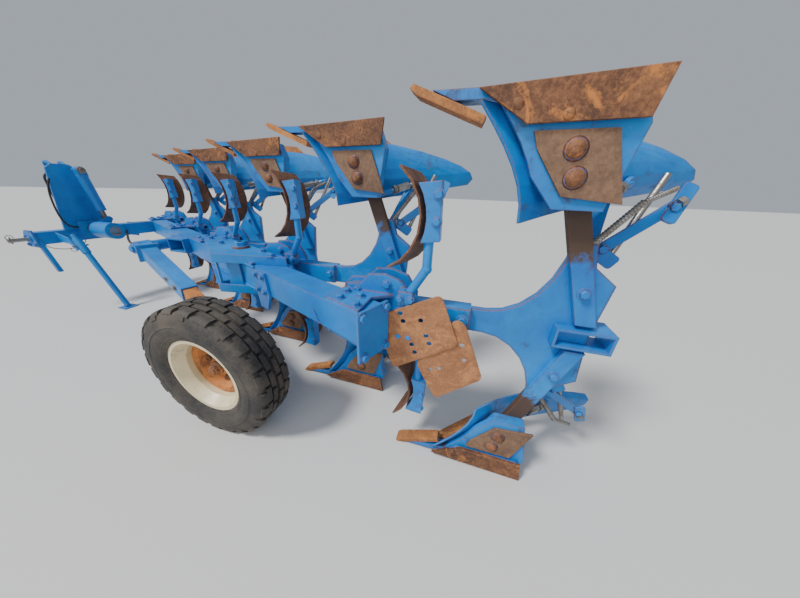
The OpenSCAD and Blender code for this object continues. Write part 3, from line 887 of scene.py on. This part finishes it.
@dataclass
class DeflectorPlates:
    """The two drilled plates that hang on the rear skimmer's stem, with outlines as (x, z) from it."""

    finish: IronFinish = IronFinish(
        "hung_plate_rust", (0.37, 0.155, 0.062), (0.235, 0.095, 0.042), (0.50, 0.235, 0.105),
        (0.54, 0.24, 0.09), orange=0.5, metal=0.1)
    middle_x: float = 0.630
    back_y: float = 0.0982
    step: float = 0.0082
    thick: float = 0.0068
    corner: float = 0.026
    hole: float = 0.011
    hole_margin: float = 0.014
    front: tuple[Flat, ...] = ((0.196, -0.008), (-0.085, 0.137), (-0.179, -0.082), (0.107, -0.274))
    back: tuple[Flat, ...] = (
        (-0.152, 0.036), (-0.193, 0.021), (-0.302, -0.239), (-0.106, -0.411), (-0.002, -0.224))
    holes: tuple[Flat, ...] = (
        (-0.193, -0.084), (-0.211, -0.157), (-0.108, -0.228), (-0.073, -0.244),
        (0.081, 0.027), (0.067, -0.009), (-0.010, 0.008), (-0.039, -0.062),
        (-0.055, -0.099), (0.022, -0.121), (0.006, -0.159))

    def parts(self) -> list[Part]:
        """Builds both plates as one piece.

        Returns:
            The pieces to be made.
        """
        mesh = bmesh.new()
        for outline, low in ((self.back, self.back_y), (self.front, self.back_y + self.step)):
            self._plate(mesh, outline, low)
        bmesh.ops.recalc_face_normals(mesh, faces=mesh.faces[:])
        return [Part("deflector_pair", mesh, Slot.IRON, smooth_angle=30.0, stands_for="deflector_plates",
                     finish=self.finish.build())]

    def _inside(self, outline: Sequence[Flat], spot: Flat) -> bool:
        """Tells whether a hole lies well inside an outline.

        Args:
            outline: The outline's corners.
            spot: The hole's middle.

        Returns:
            True when the hole keeps its margin to every edge.
        """
        gaps = []
        for (ax, az), (bx, bz) in zip(outline, [*outline[1:], outline[0]]):
            cross = (bx - ax) * (spot[1] - az) - (bz - az) * (spot[0] - ax)
            gaps.append(cross / math.hypot(bx - ax, bz - az))
        return min(gaps) > self.hole_margin or max(gaps) < -self.hole_margin

    def _plate(self, mesh: bmesh.types.BMesh, outline: Sequence[Flat], low: float) -> None:
        """Cuts one plate with rounded corners and its holes.

        Args:
            mesh: The mesh that it joins.
            outline: Its corners.
            low: Where its back face lies across the machine.
        """
        flat = bmesh.new()
        flat.faces.new([flat.verts.new((x, z, 0)) for x, z in outline])
        bmesh.ops.bevel(flat, geom=flat.verts[:], offset=self.corner, segments=5, profile=0.5,
                        affect="VERTICES", material=-1, clamp_overlap=True)
        bmesh.ops.delete(flat, geom=flat.faces[:], context="FACES_ONLY")
        for x, z in (hole for hole in self.holes if self._inside(outline, hole)):
            bmesh.ops.create_circle(flat, cap_ends=False, segments=18, radius=self.hole,
                                    matrix=Matrix.Translation((x, z, 0)))
        bmesh.ops.triangle_fill(flat, use_beauty=True, use_dissolve=False, edges=flat.edges[:])
        lifted = bmesh.ops.extrude_face_region(flat, geom=flat.faces[:])["geom"]
        bmesh.ops.translate(flat, vec=(0, 0, self.thick), verts=only_verts(lifted))
        origin = LAYOUT.at_body(LAYOUT.bodies, self.middle_x, low, 0.0)
        stand = Matrix.Translation(origin) @ Matrix(((1, 0, 0, 0), (0, 0, 1, 0), (0, 1, 0, 0), (0, 0, 0, 1)))
        bmesh.ops.transform(flat, matrix=stand, verts=flat.verts[:])
        data = bpy.data.meshes.new("plate")
        flat.to_mesh(data)
        flat.free()
        mesh.from_mesh(data)
        bpy.data.meshes.remove(data)


@dataclass
class StayBars:
    """The flat bars, screws and rods that set a mouldboard's tail."""

    bars: tuple[tuple[Point, Point, float, float], ...] = (
        ((0.020, -0.034, 0.330), (-0.200, -0.112, 0.500), 0.040, 0.009),
        ((-0.030, -0.034, 0.300), (0.055, -0.034, 0.352), 0.052, 0.010),
        ((-0.180, -0.090, 0.455), (-0.215, -0.120, 0.545), 0.046, 0.010))
    rods: tuple[tuple[Point, Point, float, int, int], ...] = (
        ((0.052, -0.012, 0.352), (-0.060, -0.030, 0.500), 0.0125, 14, 18),
        ((-0.060, -0.030, 0.500), (-0.150, -0.066, 0.545), 0.009, 12, 14),
        ((-0.030, -0.052, 0.300), (-0.150, -0.140, 0.590), 0.011, 14, 0))
    bolt_shares: Flat = (0.06, 0.93)
    sleeve: Point = (-0.190, -0.096, 0.500)

    def parts(self) -> list[Part]:
        """Builds the bars and rods of all bodies.

        Returns:
            The pieces to be made.
        """
        bars, rods = Fasteners(), Fasteners()
        for body in LAYOUT.numbers():
            for side in Side:
                self._set(bars, rods, partial(LAYOUT.at_body, body, side=side))
        return [Part("tail_stay_bars", bars.mesh, Slot.BLUE), Part("tail_stay_rods", rods.mesh, Slot.STEEL)]

    def _set(self, bars: Fasteners, rods: Fasteners, spot: Spot) -> None:
        """Adds one body's bars and rods.

        Args:
            bars: The mesh of painted pieces.
            rods: The mesh of bare pieces.
            spot: Gives points of the body.
        """
        for start, end, width, thick in self.bars:
            bars.bar(spot(*start), spot(*end), width, thick)
        for start, end, radius, segments, rings in self.rods:
            rods.rod(spot(*start), spot(*end), radius, segments, rings)
        foot, head = (spot(*end) for end in self.bars[0][:2])
        for share in self.bolt_shares:
            bars.bolt(foot.lerp(head, share) + LEFT * 0.006, LEFT, Hex(0.026, 0.012), share * 5)
        rods.bolt(spot(*self.sleeve), (head - foot).normalized(), Hex(0.030, 0.020), 0.1, False)
        bars.stud(spot(*self.rods[2][0]), LEFT, 0.020, 0.016)


@dataclass
class ConsoleHardware:
    """Pivot heads, shear bolts, tie bolts and clamp bolts of the carriers' consoles."""

    pivot: float = 0.860
    shear: float = 0.730
    face: float = 0.0545
    tie_top: float = 0.084
    tie_foot: float = 0.0715
    tie_side: float = 0.070
    tie_bolts: tuple[Flat, ...] = ((0.010, 0.040), (0.105, 0.036), (0.030, -0.040), (0.110, -0.036))
    tie_seam: Flat = (-0.020, 0.165)
    edge_seam: Flat = (0.765, 0.985)
    edge_bolts: tuple[Flat, ...] = ((0.935, 0.085), (0.792, 0.128), (0.700, 0.100))
    edge_off: float = 0.069
    clamp_bolts: tuple[Point, ...] = ((0.672, 0.1005, 0.090), (0.718, 0.1005, 0.090))
    frog_bolts: tuple[Point, ...] = ((0.592, 0.1015, 0.410), (0.592, 0.1015, 0.500))

    def parts(self) -> list[Part]:
        """Builds the hardware of all consoles.

        Returns:
            The pieces to be made.
        """
        pins, bolts, beads = Fasteners(), Fasteners(), BeadLine()
        for body in LAYOUT.numbers():
            for way in (1, -1):
                spot = partial(LAYOUT.at_body, body)
                pins.stud(spot(self.pivot, way * self.face, 0.0), LEFT * way, 0.037, 0.010, segments=28)
                outer = way * (self.face + 0.010)
                pins.stud(spot(self.pivot, outer, 0.0), LEFT * way, 0.024, 0.008, segments=24)
                bolts.bolt(spot(self.shear, way * self.face, 0.0), LEFT * way, Hex(0.036, 0.016), 0.4)
            for side in Side:
                spot = partial(LAYOUT.at_body, body, side=side)
                for x, z in self.edge_bolts:
                    bolts.bolt(spot(x, self.face, z), LEFT, Hex(0.030, 0.013), x * 9)
                self._tie(bolts, beads, spot, UP * side.value)
                for x, y, z in self.clamp_bolts:
                    bolts.bolt(spot(x, y, z), LEFT, Hex(0.024, 0.012), x * 7)
                for x, y, z in self.frog_bolts:
                    bolts.bolt(spot(x, y, z), LEFT, Hex(0.026, 0.013), z * 9)
        return [Part("pivot_heads", pins.mesh, Slot.IRON), Part("console_bolts", bolts.mesh, Slot.BLUE),
                Part("console_welds", beads.mesh, Slot.BLUE, smooth_angle=60.0)]

    def _tie(self, bolts: Fasteners, beads: BeadLine, spot: Spot, up: Vector) -> None:
        """Adds the bolts of one tie plate, and the welds along its edge and the console's.

        Args:
            bolts: The mesh of the bolts.
            beads: The mesh of the welds.
            spot: Gives points of the body.
            up: The way out from the beam.
        """
        slope = LAYOUT.furrow / LAYOUT.pitch
        for dx, dy in self.tie_bolts:
            across = LAYOUT.beam_off - dx * slope + dy
            bolts.bolt(spot(self.pivot + dx, across, self.tie_top), up, roll=dx * 20)
        beads.lay(*(spot(self.pivot + dx, LAYOUT.beam_off - dx * slope + self.tie_side, self.tie_foot)
                    for dx in self.tie_seam))
        for y in (-self.face - 0.001, self.face + 0.001):
            beads.lay(*(spot(x, y, self.edge_off) for x in self.edge_seam))


@dataclass
class BeamHardware:
    """Bolts and welds on the beam, its flange and its gussets."""

    rear: float = 0.805
    flange_face: float = -0.0141
    flange_seam_face: float = 0.004
    flange_bolts: tuple[Flat, ...] = ((-0.062, -0.122), (0.066, -0.122), (-0.066, 0.064), (0.070, 0.064))
    flange_seam: tuple[Flat, ...] = ((-0.071, 0.071), (-0.071, -0.071), (0.071, -0.071), (0.071, 0.071))
    gusset_top: float = 0.124
    gusset_pin: float = 1.930
    gusset_bolts: tuple[Flat, ...] = (
        (1.60, -0.030), (1.74, -0.045), (2.14, 0.045), (2.30, -0.04), (2.36, 0.035))
    gusset_seam: Flat = (1.62, 2.36)
    seam_off: float = 0.073
    plate_x: float = 1.560
    plate_face: float = 0.0841
    plate_bolts: tuple[Flat, ...] = ((-0.045, 0.045), (0.030, 0.045), (-0.045, -0.045), (0.030, -0.045))

    def on_beam(self, x: float, across: float, along: float, z: float) -> Vector:
        """Gives a point by its place from the beam's middle line.

        Args:
            x: Where on the line it is measured from.
            across: Its distance to the left of the beam.
            along: Its distance forward along the beam.
            z: Its height over the beam's middle.

        Returns:
            The point, in the row frame.
        """
        turn = LAYOUT.skew()
        dx = along * math.cos(turn) + across * math.sin(turn)
        dy = across * math.cos(turn) - along * math.sin(turn)
        return LAYOUT.place(x + dx, LAYOUT.beam_y(x) + dy, LAYOUT.beam_z + z)

    def parts(self) -> list[Part]:
        """Builds the beam's small parts.

        Returns:
            The pieces to be made.
        """
        bolts, beads, heads = Fasteners(), BeadLine(0.006, 0.012), Fasteners()
        turn = LAYOUT.skew()
        back = Vector((-math.cos(turn), math.sin(turn), 0))
        near = Vector((math.sin(turn), math.cos(turn), 0))
        for across, z in self.flange_bolts:
            bolts.bolt(self.on_beam(self.rear, across, self.flange_face, z), back, roll=across * 40)
        for across, z in self.flange_seam:
            beads.lay(self.on_beam(self.rear, across, self.flange_seam_face, z),
                      self.on_beam(self.rear, -z, self.flange_seam_face, across))
        for side in Side:
            up, top = UP * side.value, side.value * self.gusset_top
            spot = self.on_beam(self.gusset_pin, 0.0, 0.0, top)
            heads.stud(spot, up, 0.052, 0.012, segments=28)
            bolts.stud(spot + up * 0.012, up, 0.020, 0.030, 0.060)
            for x, across in self.gusset_bolts:
                bolts.bolt(self.on_beam(x, across, 0.0, top), up, Hex(0.032, 0.015), x * 5)
            for across in (-self.seam_off, self.seam_off):
                level = side.value * self.seam_off
                beads.lay(*(self.on_beam(x, across, 0.0, level) for x in self.gusset_seam))
        for along, z in self.plate_bolts:
            spot = self.on_beam(self.plate_x, self.plate_face, along, z)
            bolts.bolt(spot, near, Hex(0.028, 0.013), along * 30)
        return [Part("beam_bolts", bolts.mesh, Slot.BLUE),
                Part("beam_welds", beads.mesh, Slot.BLUE, smooth_angle=60.0),
                Part("plate_bolts", heads.mesh, Slot.IRON)]


@dataclass
class WheelHardware:
    """Wheel nuts, hub cap and valve, and the pins of the wheel's arm."""

    disc_set_back: float = 0.043
    nut_circle: float = 0.086
    nuts: int = 6
    valve_angle: float = 2.2
    arm_hub: Point = (3.095, -0.371, 0.805)
    arm_end: Point = (2.350, -0.139, 0.587)
    arm_face: float = 0.0705
    arm_half: float = 0.0502
    pin_places: Flat = (0.56, 0.70)

    def parts(self) -> list[Part]:
        """Builds the small parts of the wheel and its arm.

        Returns:
            The pieces to be made.
        """
        nuts, pins, caps = Fasteners(), Fasteners(), Fasteners()
        self._wheel(nuts, LAYOUT.place(*LAYOUT.wheel))
        hub, end = LAYOUT.place(*self.arm_hub), LAYOUT.place(*self.arm_end)
        way = (end - hub).normalized()
        across = way.cross(UP).normalized()
        for spot in (hub + way * along for along in self.pin_places):
            pins.rod(spot - across * 0.064, spot + across * 0.064, 0.010)
            for turn in (-1, 1):
                pins.bolt(spot + across * self.arm_half * turn, across * turn, Hex(0.030, 0.010))
        caps.stud(hub + LEFT * self.arm_face, LEFT, 0.040, 0.008, segments=28)
        caps.bolt(hub + LEFT * (self.arm_face + 0.008), LEFT, Hex(0.046, 0.014), 0.4, False)
        return [Part("wheel_nuts", nuts.mesh, Slot.IRON, "wheel"),
                Part("arm_pins", pins.mesh, Slot.STEEL, "wheel_arm"),
                Part("arm_pivot_cap", caps.mesh, Slot.BLUE)]

    def _wheel(self, nuts: Fasteners, middle: Vector) -> None:
        """Adds the nuts on their round seats, the disc's ribs, the hub cap and the valve.

        Args:
            nuts: The mesh that they join.
            middle: The wheel's middle.
        """
        for count in range(self.nuts):
            angle = math.tau * (count + 0.3) / self.nuts
            spoke = Vector((math.cos(angle), 0, math.sin(angle)))
            spot = middle + spoke * self.nut_circle - LEFT * self.disc_set_back
            nuts.cap(spot, LEFT, 0.029, 0.014)
            nuts.stud(spot + LEFT * 0.011, LEFT, 0.009, 0.028, 0.036)
            nuts.rod(middle + spoke * 0.048 - LEFT * 0.030, middle + spoke * 0.112 - LEFT * 0.040, 0.010, 8)
        nuts.stud(middle + LEFT * 0.002, LEFT, 0.043, 0.012, segments=28)
        nuts.stud(middle + LEFT * 0.014, LEFT, 0.030, 0.018, segments=24)
        nuts.bolt(middle + LEFT * 0.030, LEFT, Hex(0.040, 0.010), 0.2, False)
        valve = Vector((math.cos(self.valve_angle), 0, math.sin(self.valve_angle)))
        nuts.rod(middle + valve * 0.166 + LEFT * 0.020, middle + valve * 0.158 + LEFT * 0.062, 0.006, 10)


@dataclass
class HeadstockHardware:
    """Linch pins, fittings and nuts of the headstock."""

    hitch: Point = (4.700, -0.760, 0.745)
    half_span: float = 0.4125
    pin_reach: float = 0.112
    side_bolts: tuple[Flat, ...] = ((-0.055, -0.055), (0.052, -0.055), (0.040, 0.020))
    top_link: Point = (0.010, 0.0605, 0.690)
    mast_side: float = 0.060
    unions: tuple[Flat, ...] = ((4.665, 0.150), (4.665, 0.560), (4.725, 0.200), (4.725, 0.480))
    cylinder_pin: Point = (4.455, -0.826, 1.395)
    stand_foot: Point = (4.078, -0.542, 0.0)
    stand_lean: Point = (0.268, 0.0, 0.573)
    stand_pin: float = 0.740

    def parts(self) -> list[Part]:
        """Builds the headstock's small parts.

        Returns:
            The pieces to be made.
        """
        steel, blue = Fasteners(), Fasteners()
        ahead = Vector((1, 0, 0))
        x, y, z = self.hitch
        for way in (-1, 1):
            end = LAYOUT.place(x, y + way * (self.half_span + self.pin_reach), z)
            steel.rod(end - UP * 0.030, end + UP * 0.034, 0.0055, 12)
            steel.ring(end + UP * 0.030, ahead, 0.022, 0.003)
            blue.stud(LAYOUT.place(x, y + way * self.half_span, z), LEFT * way, 0.034, 0.010, segments=24)
            for dx, dz in self.side_bolts:
                at = LAYOUT.place(x + dx, y + way * self.half_span, z + dz)
                blue.bolt(at, LEFT * way, Hex(0.024, 0.012))
            dx, dy, dz = self.top_link
            blue.ring(LAYOUT.place(x + dx, y + way * dy, z + dz), LEFT, 0.027, 0.006)
        steel.bolt(LAYOUT.place(*self.cylinder_pin), -ahead, Hex(0.042, 0.012), 0.2)
        hole = LAYOUT.place(*self.stand_foot) + Vector(self.stand_lean).normalized() * self.stand_pin
        steel.rod(hole - LEFT * 0.052, hole + LEFT * 0.060, 0.008, 12)
        steel.ring(hole + Vector((0, 0.060, -0.024)), ahead, 0.024, 0.003)
        for spot, level in self.unions:
            at = LAYOUT.place(spot, y + self.mast_side, LAYOUT.beam_z + level)
            steel.stud(at, LEFT, 0.011, 0.022, 0.026)
        return [Part("headstock_pins", steel.mesh, Slot.STEEL, "headstock"),
                Part("headstock_bolts", blue.mesh, Slot.BLUE, "headstock")]


@dataclass(frozen=True)
class HoseRun:
    """One hose by the points it passes, in the plough's own frame."""

    name: str
    points: tuple[Point, ...]
    width: float
    body: str = "headstock"
    pale: bool = False
    node: str = ""
    end: str = "object"


@dataclass
class Hoses:
    """The hoses on the headstock and along the frame."""

    hitch: Point = (4.700, -0.700, 0.805)
    loops: tuple[tuple[float, float, float, float, float], ...] = (
        (-0.035, 0.150, 0.560, 0.070, 0.018), (0.025, 0.200, 0.480, 0.050, 0.0125))
    union: tuple[Point, ...] = (
        (4.640, -0.699, 1.330), (4.625, -0.640, 1.300), (4.602, -0.590, 1.180), (4.588, -0.570, 1.020),
        (4.590, -0.580, 0.905), (4.596, -0.615, 0.845), (4.600, -0.671, 0.830))
    slack: tuple[Point, ...] = (
        (4.700, -0.420, 0.686), (4.698, -0.430, 0.655), (4.690, -0.480, 0.622), (4.680, -0.570, 0.606),
        (4.672, -0.650, 0.622), (4.664, -0.690, 0.655), (4.660, -0.700, 0.686))
    frame: tuple[Point, ...] = (
        (3.141, -0.470, 0.800), (3.230, -0.470, 0.798), (3.440, -0.510, 0.770), (3.720, -0.610, 0.742),
        (3.980, -0.730, 0.742), (4.160, -0.830, 0.775), (4.229, -0.870, 0.795))

    def loop(self, dx: float, low: float, high: float, bend: float) -> tuple[Point, ...]:
        """Gives the route of a hose that leaves the mast's side and comes back to it lower down.

        Args:
            dx: Its distance forward of the hitch.
            low: The height of its lower end over the beam's middle.
            high: The height of its upper end.
            bend: The radius of its two bends.

        Returns:
            The route's points.
        """
        x, y, z = self.hitch
        arc = [math.radians(90 - 15 * step) for step in range(7)]
        upper = [(x + dx, y + bend * math.cos(a), z + high - bend + bend * math.sin(a)) for a in arc]
        span = high - low - 2 * bend
        middle = [(x + dx, y + bend, z + high - bend - span * step / 6) for step in range(1, 6)]
        lower = [(x + dx, y + bend * math.cos(a), z + low + bend - bend * math.sin(a)) for a in reversed(arc)]
        return tuple(upper + middle + lower)

    def runs(self) -> list[HoseRun]:
        """Lists all the hoses, those that stand for a CAD node first.

        Returns:
            The hoses.
        """
        made = [HoseRun(f"mast_hose_{count}", self.loop(*sizes), width, node="hoses")
                for count, (*sizes, width) in enumerate(self.loops, 1)]
        return made + [HoseRun("union_hose", self.curve(self.union), 0.016),
                       HoseRun("slack_line", self.curve(self.slack), 0.009, pale=True),
                       HoseRun("frame_hose", self.curve(self.frame), 0.020, "frame")]

    @staticmethod
    def curve(points: Sequence[Point], steps: int = 5) -> tuple[Point, ...]:
        """Rounds a route off with a smooth curve through its points.

        Args:
            points: The route's points.
            steps: How many new points go to each of them.

        Returns:
            The curve's points.
        """
        marks = [Vector(p) for p in points]
        marks = [marks[0] * 2 - marks[1]] + marks + [marks[-1] * 2 - marks[-2]]
        made: list[Point] = []
        for a, b, c, d in zip(marks, marks[1:], marks[2:], marks[3:]):
            for t in (step / steps for step in range(steps)):
                spot = 0.5 * (2 * b + (c - a) * t + (2 * a - 5 * b + 4 * c - d) * t ** 2
                              + (3 * b - a - 3 * c + d) * t ** 3)
                made.append(tuple(spot))
        return (*made, tuple(marks[-2]))

    def build(self, shop: Workshop, pale: bpy.types.Material) -> None:
        """Args:
            shop: The workshop that holds the finishes.
            pale: The finish of the pale line.
        """
        for run in self.runs():
            route = [LAYOUT.place(*p) for p in run.points]
            data = bpy.data.curves.new(run.name, "CURVE")
            data.dimensions = "3D"
            data.bevel_depth = run.width / 2
            data.bevel_resolution = 4
            data.use_fill_caps = True
            line = data.splines.new("POLY")
            line.points.add(len(route) - 1)
            for point, spot in zip(line.points, route):
                point.co = (*spot, 1.0)
            data.materials.append(pale if run.pale else shop.finishes[Slot.HOSE])
            obj = add_object(run.name, data)
            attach(obj, run.body)
            if run.node:
                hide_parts(run.node)
            shop.made.append(run.name)


@dataclass
class TyreTread:
    """The support wheel's tyre with its tread blocks."""

    outer: float = 0.3925
    rim_radius: float = 0.223
    half_width: float = 0.109
    tread_depth: float = 0.013
    crown_depth: float = 0.013
    shoulder_depth: float = 0.030
    lug_lean: float = 0.35
    centre_row: Flat = (0.08, 0.32)
    outer_row: Flat = (0.40, 0.62)
    steps: int = 144

    def profile(self) -> list[Flat]:
        """Draws the casing's outline, from bead to bead.

        Returns:
            Its (radius, side) points.
        """
        r, w, b = self.outer - self.tread_depth, self.half_width, self.rim_radius
        half = [(b - 0.0112, 0.0650), (b + 0.0004, 0.0702), (b + 0.0006, 0.0865), (b + 0.012, 0.0925),
                (b + 0.018, 0.0965), (b + 0.021, 0.0955), (b + 0.027, 0.0995), (b + 0.030, 0.0985),
                (b + 0.040, w - 0.006), (b + 0.060, w - 0.001), (b + 0.080, w - 0.001),
                (b + 0.084, w + 0.0015), (b + 0.088, w - 0.001), (r - 0.054, w - 0.002),
                (r - 0.040, w - 0.004), (r - 0.026, w - 0.008), (r - 0.012, w - 0.014),
                (r - 0.004, w - 0.021), (r - 0.001, w - 0.030)]
        half += [(r, w * share) for share in (0.62, 0.46, 0.40, 0.32, 0.08)]
        return half + [(radius, -side) for radius, side in reversed(half)]

    def raised(self, radius: float, side: float, step: int) -> bool:
        """Tells whether a face of the casing belongs to a tread block.

        Args:
            radius: The face's distance from the axle.
            side: Its distance from the wheel's middle plane.
            step: Its number round the tyre.

        Returns:
            True on a block, False in a groove.
        """
        share, right = abs(side) / self.half_width, side <= 0
        depth = self.outer - self.tread_depth - radius
        groove = share < self.centre_row[0] or self.centre_row[1] <= share < self.outer_row[0]
        if depth > self.shoulder_depth or groove:
            return False
        if share < self.centre_row[1]:
            return (step + (3 if right else 0)) % 6 != 0
        beat = (step + (5 if right else 2)) % 12
        if depth < self.crown_depth:
            return beat not in ((0, 6) if share < self.outer_row[1] else (0, 1, 6, 7))
        return beat in (2, 3, 4)

    def parts(self) -> list[Part]:
        """Spins the casing, then raises its tread.

        Returns:
            The piece to be made.
        """
        mesh = bmesh.new()
        centre = LAYOUT.place(*LAYOUT.wheel)
        verts = [mesh.verts.new(centre + Vector((r, -s, 0))) for r, s in self.profile()]
        edges = [mesh.edges.new((a, b)) for a, b in zip(verts, verts[1:] + verts[:1])]
        bmesh.ops.spin(mesh, geom=verts + edges, cent=centre, axis=LEFT, angle=math.tau, steps=self.steps,
                       use_merge=True, use_duplicate=False)
        bmesh.ops.remove_doubles(mesh, verts=mesh.verts[:], dist=1e-5)
        bmesh.ops.recalc_face_normals(mesh, faces=mesh.faces[:])
        blocks = []
        for face in mesh.faces:
            spot = face.calc_center_median() - centre
            step = int((math.atan2(spot.z, spot.x) / math.tau) % 1.0 * self.steps)
            if self.raised(math.hypot(spot.x, spot.z), spot.y, step):
                blocks.append(face)
        lifted = bmesh.ops.extrude_face_region(mesh, geom=blocks)["geom"]
        bmesh.ops.delete(mesh, geom=blocks, context="FACES")
        for vert in only_verts(lifted):
            spot = vert.co - centre
            depth = self.outer - self.tread_depth - math.hypot(spot.x, spot.z)
            lean = max(0.0, min(1.0, depth / self.shoulder_depth))
            out = Vector((spot.x, 0, spot.z)).normalized() * (1.0 - lean)
            out.y = self.lug_lean * lean * math.copysign(1.0, spot.y)
            vert.co += out * (self.tread_depth - 0.0004)
        return [Part("tyre_casing", mesh, Slot.TYRE, "wheel", 32.0, "tyre")]


@dataclass
class Studio:
    """A pale floor, soft lights and the photograph's camera."""

    eye: Point = (0.4766, 1.0014, 1.3128)
    yaw: float = -75.0334
    pitch: float = -24.1934
    roll: float = 2.1283
    focal_pixels: float = 240.91
    picture_width: float = 800.0
    sensor: float = 36.0
    sun_from: Point = (0.45, 0.40, 0.80)
    fill_at: Point = (-1.0, 4.5, 3.2)
    fill_towards: Point = (0.0, 0.0, 0.8)
    sky: Colour = (0.80, 0.88, 1.0)
    sky_strength: float = 0.50
    floor_tone: Colour = (0.62, 0.61, 0.59)

    def camera(self) -> None:
        """Places the camera."""
        yaw, pitch, roll = (math.radians(a) for a in (self.yaw, self.pitch, self.roll))
        ahead = Vector((math.cos(yaw) * math.cos(pitch), math.sin(yaw) * math.cos(pitch), math.sin(pitch)))
        right = ahead.cross(UP).normalized()
        up = right.cross(ahead)
        tilted = right * math.cos(roll) + up * math.sin(roll)
        top = up * math.cos(roll) - right * math.sin(roll)
        data = bpy.data.cameras.new("camera")
        data.sensor_width = self.sensor
        data.lens = self.focal_pixels / self.picture_width * self.sensor
        data.clip_start = 0.02
        data.clip_end = 200.0
        obj = add_object("camera", data)
        turn = Matrix((tilted, top, -ahead)).transposed().to_4x4()
        obj.matrix_world = Matrix.Translation(LAYOUT.place(*self.eye)) @ turn
        bpy.context.scene.camera = obj

    def floor(self) -> None:
        """Lays the floor."""
        mesh = bmesh.new()
        bmesh.ops.create_grid(mesh, x_segments=1, y_segments=1, size=60.0)
        data = bpy.data.meshes.new("floor")
        mesh.to_mesh(data)
        mesh.free()
        obj = add_object("floor", data)
        data.materials.append(Graph("floor").finish(Base_Color=self.floor_tone, Roughness=0.85))

    def light(self) -> None:
        """Sets a soft sky, a low sun and a fill lamp."""
        world = bpy.data.worlds.new("sky")
        world.use_nodes = True
        light = world.node_tree.nodes["Background"]
        light.inputs["Color"].default_value = (*self.sky, 1.0)
        light.inputs["Strength"].default_value = self.sky_strength
        bpy.context.scene.world = world
        self._lamp("sun", "SUN", Vector(self.sun_from), energy=3.4, angle=0.20)
        back = Vector(self.fill_at) - Vector(self.fill_towards)
        fill = self._lamp("fill", "AREA", back, energy=70.0, size=4.0)
        fill.location = self.fill_at

    @staticmethod
    def _lamp(name: str, kind: str, back: Vector, **settings: float) -> bpy.types.Object:
        """Adds a lamp.

        Args:
            name: Its name.
            kind: Its type.
            back: The way from what it lights to the lamp.
            settings: Its strength and size.

        Returns:
            The lamp's object.
        """
        data = bpy.data.lights.new(name, kind)
        for key, value in settings.items():
            setattr(data, key, value)
        obj = add_object(name, data)
        obj.rotation_euler = back.to_track_quat("Z", "Y").to_euler()
        return obj


def slot_finishes() -> dict[Slot, bpy.types.Material]:
    """Builds the finish of each material slot.

    Returns:
        The materials by slot.
    """
    return {
        Slot.BLUE: EnamelFinish("blue_enamel").build(),
        Slot.IRON: IronFinish("rusted_iron").build(),
        Slot.STEEL: SteelFinish("dirty_steel").build(),
        Slot.CREAM: EnamelFinish("cream_enamel", (0.72, 0.61, 0.36), (0.84, 0.75, 0.50), wear=0.9,
                                 soiled=0.3).build(),
        Slot.TYRE: RubberFinish("tyre_rubber").build(),
        Slot.HOSE: RubberFinish("hose_rubber", (0.015, 0.015, 0.016), soiled=0.15).build(),
    }


def node_finishes() -> dict[str, bpy.types.Material]:
    """Builds the finishes of the nodes that look other than their slot.

    Returns:
        The materials by node name.
    """
    made = {
        "legs": EnamelFinish("leg_enamel", wear=0.9, soiled=1.3, soil_from=0.28),
        "carriers": EnamelFinish("web_enamel", wear=1.0, soiled=0.30, edge_reach=0.016),
        "mouldboards": EnamelFinish("board_enamel", wear=1.0, soiled=0.36),
        "frogs": EnamelFinish("frog_enamel", wear=0.9, soiled=0.42),
        "wheel_slide": IronFinish("orange_slide", (0.34, 0.13, 0.05), (0.16, 0.06, 0.03), (0.50, 0.22, 0.09),
                                  orange=0.8),
        "points": IronFinish("point_iron", (0.40, 0.155, 0.045), (0.19, 0.075, 0.035), (0.56, 0.25, 0.08),
                             (0.60, 0.25, 0.06), orange=0.5),
        "wear_plates": IronFinish("wear_plate_iron", (0.215, 0.120, 0.070), (0.120, 0.070, 0.045),
                                  (0.33, 0.20, 0.12), (0.36, 0.18, 0.08), orange=0.25),
        "skimmer_boards": IronFinish("skimmer_iron", (0.17, 0.075, 0.042), (0.050, 0.028, 0.022),
                                     (0.30, 0.15, 0.085), orange=0.2),
    }
    special = {node: finish.build() for node, finish in made.items()}
    for node, like in (("consoles", "carriers"), ("shins", "mouldboards"), ("skimmer_frogs", "frogs"),
                       ("wheel_disc", "wheel_slide"), ("shares", "points")):
        special[node] = special[like]
    return special


def main() -> None:
    """Builds the whole scene."""
    logging.basicConfig(level=logging.INFO, format="%(message)s")
    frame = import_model()
    studio = Studio()
    studio.camera()
    shop = Workshop(slot_finishes())
    Hoses().build(shop, RubberFinish("pale_line", (0.50, 0.44, 0.32), (0.30, 0.25, 0.18)).build())
    slots = {part["node"]: part["material_slot"] for part in frame["record"]["subparts"]}
    shop.dress(frame, slots, node_finishes())
    for group in (DeflectorPlates(), BodyHardware(), StayBars(), ConsoleHardware(), BeamHardware(),
                  WheelHardware(), HeadstockHardware(), TyreTread()):
        for part in group.parts():
            shop.make(part)
    studio.floor()
    studio.light()
    LOG.info("built %d pieces", len(shop.made))


if __name__ == "__main__":
    main()
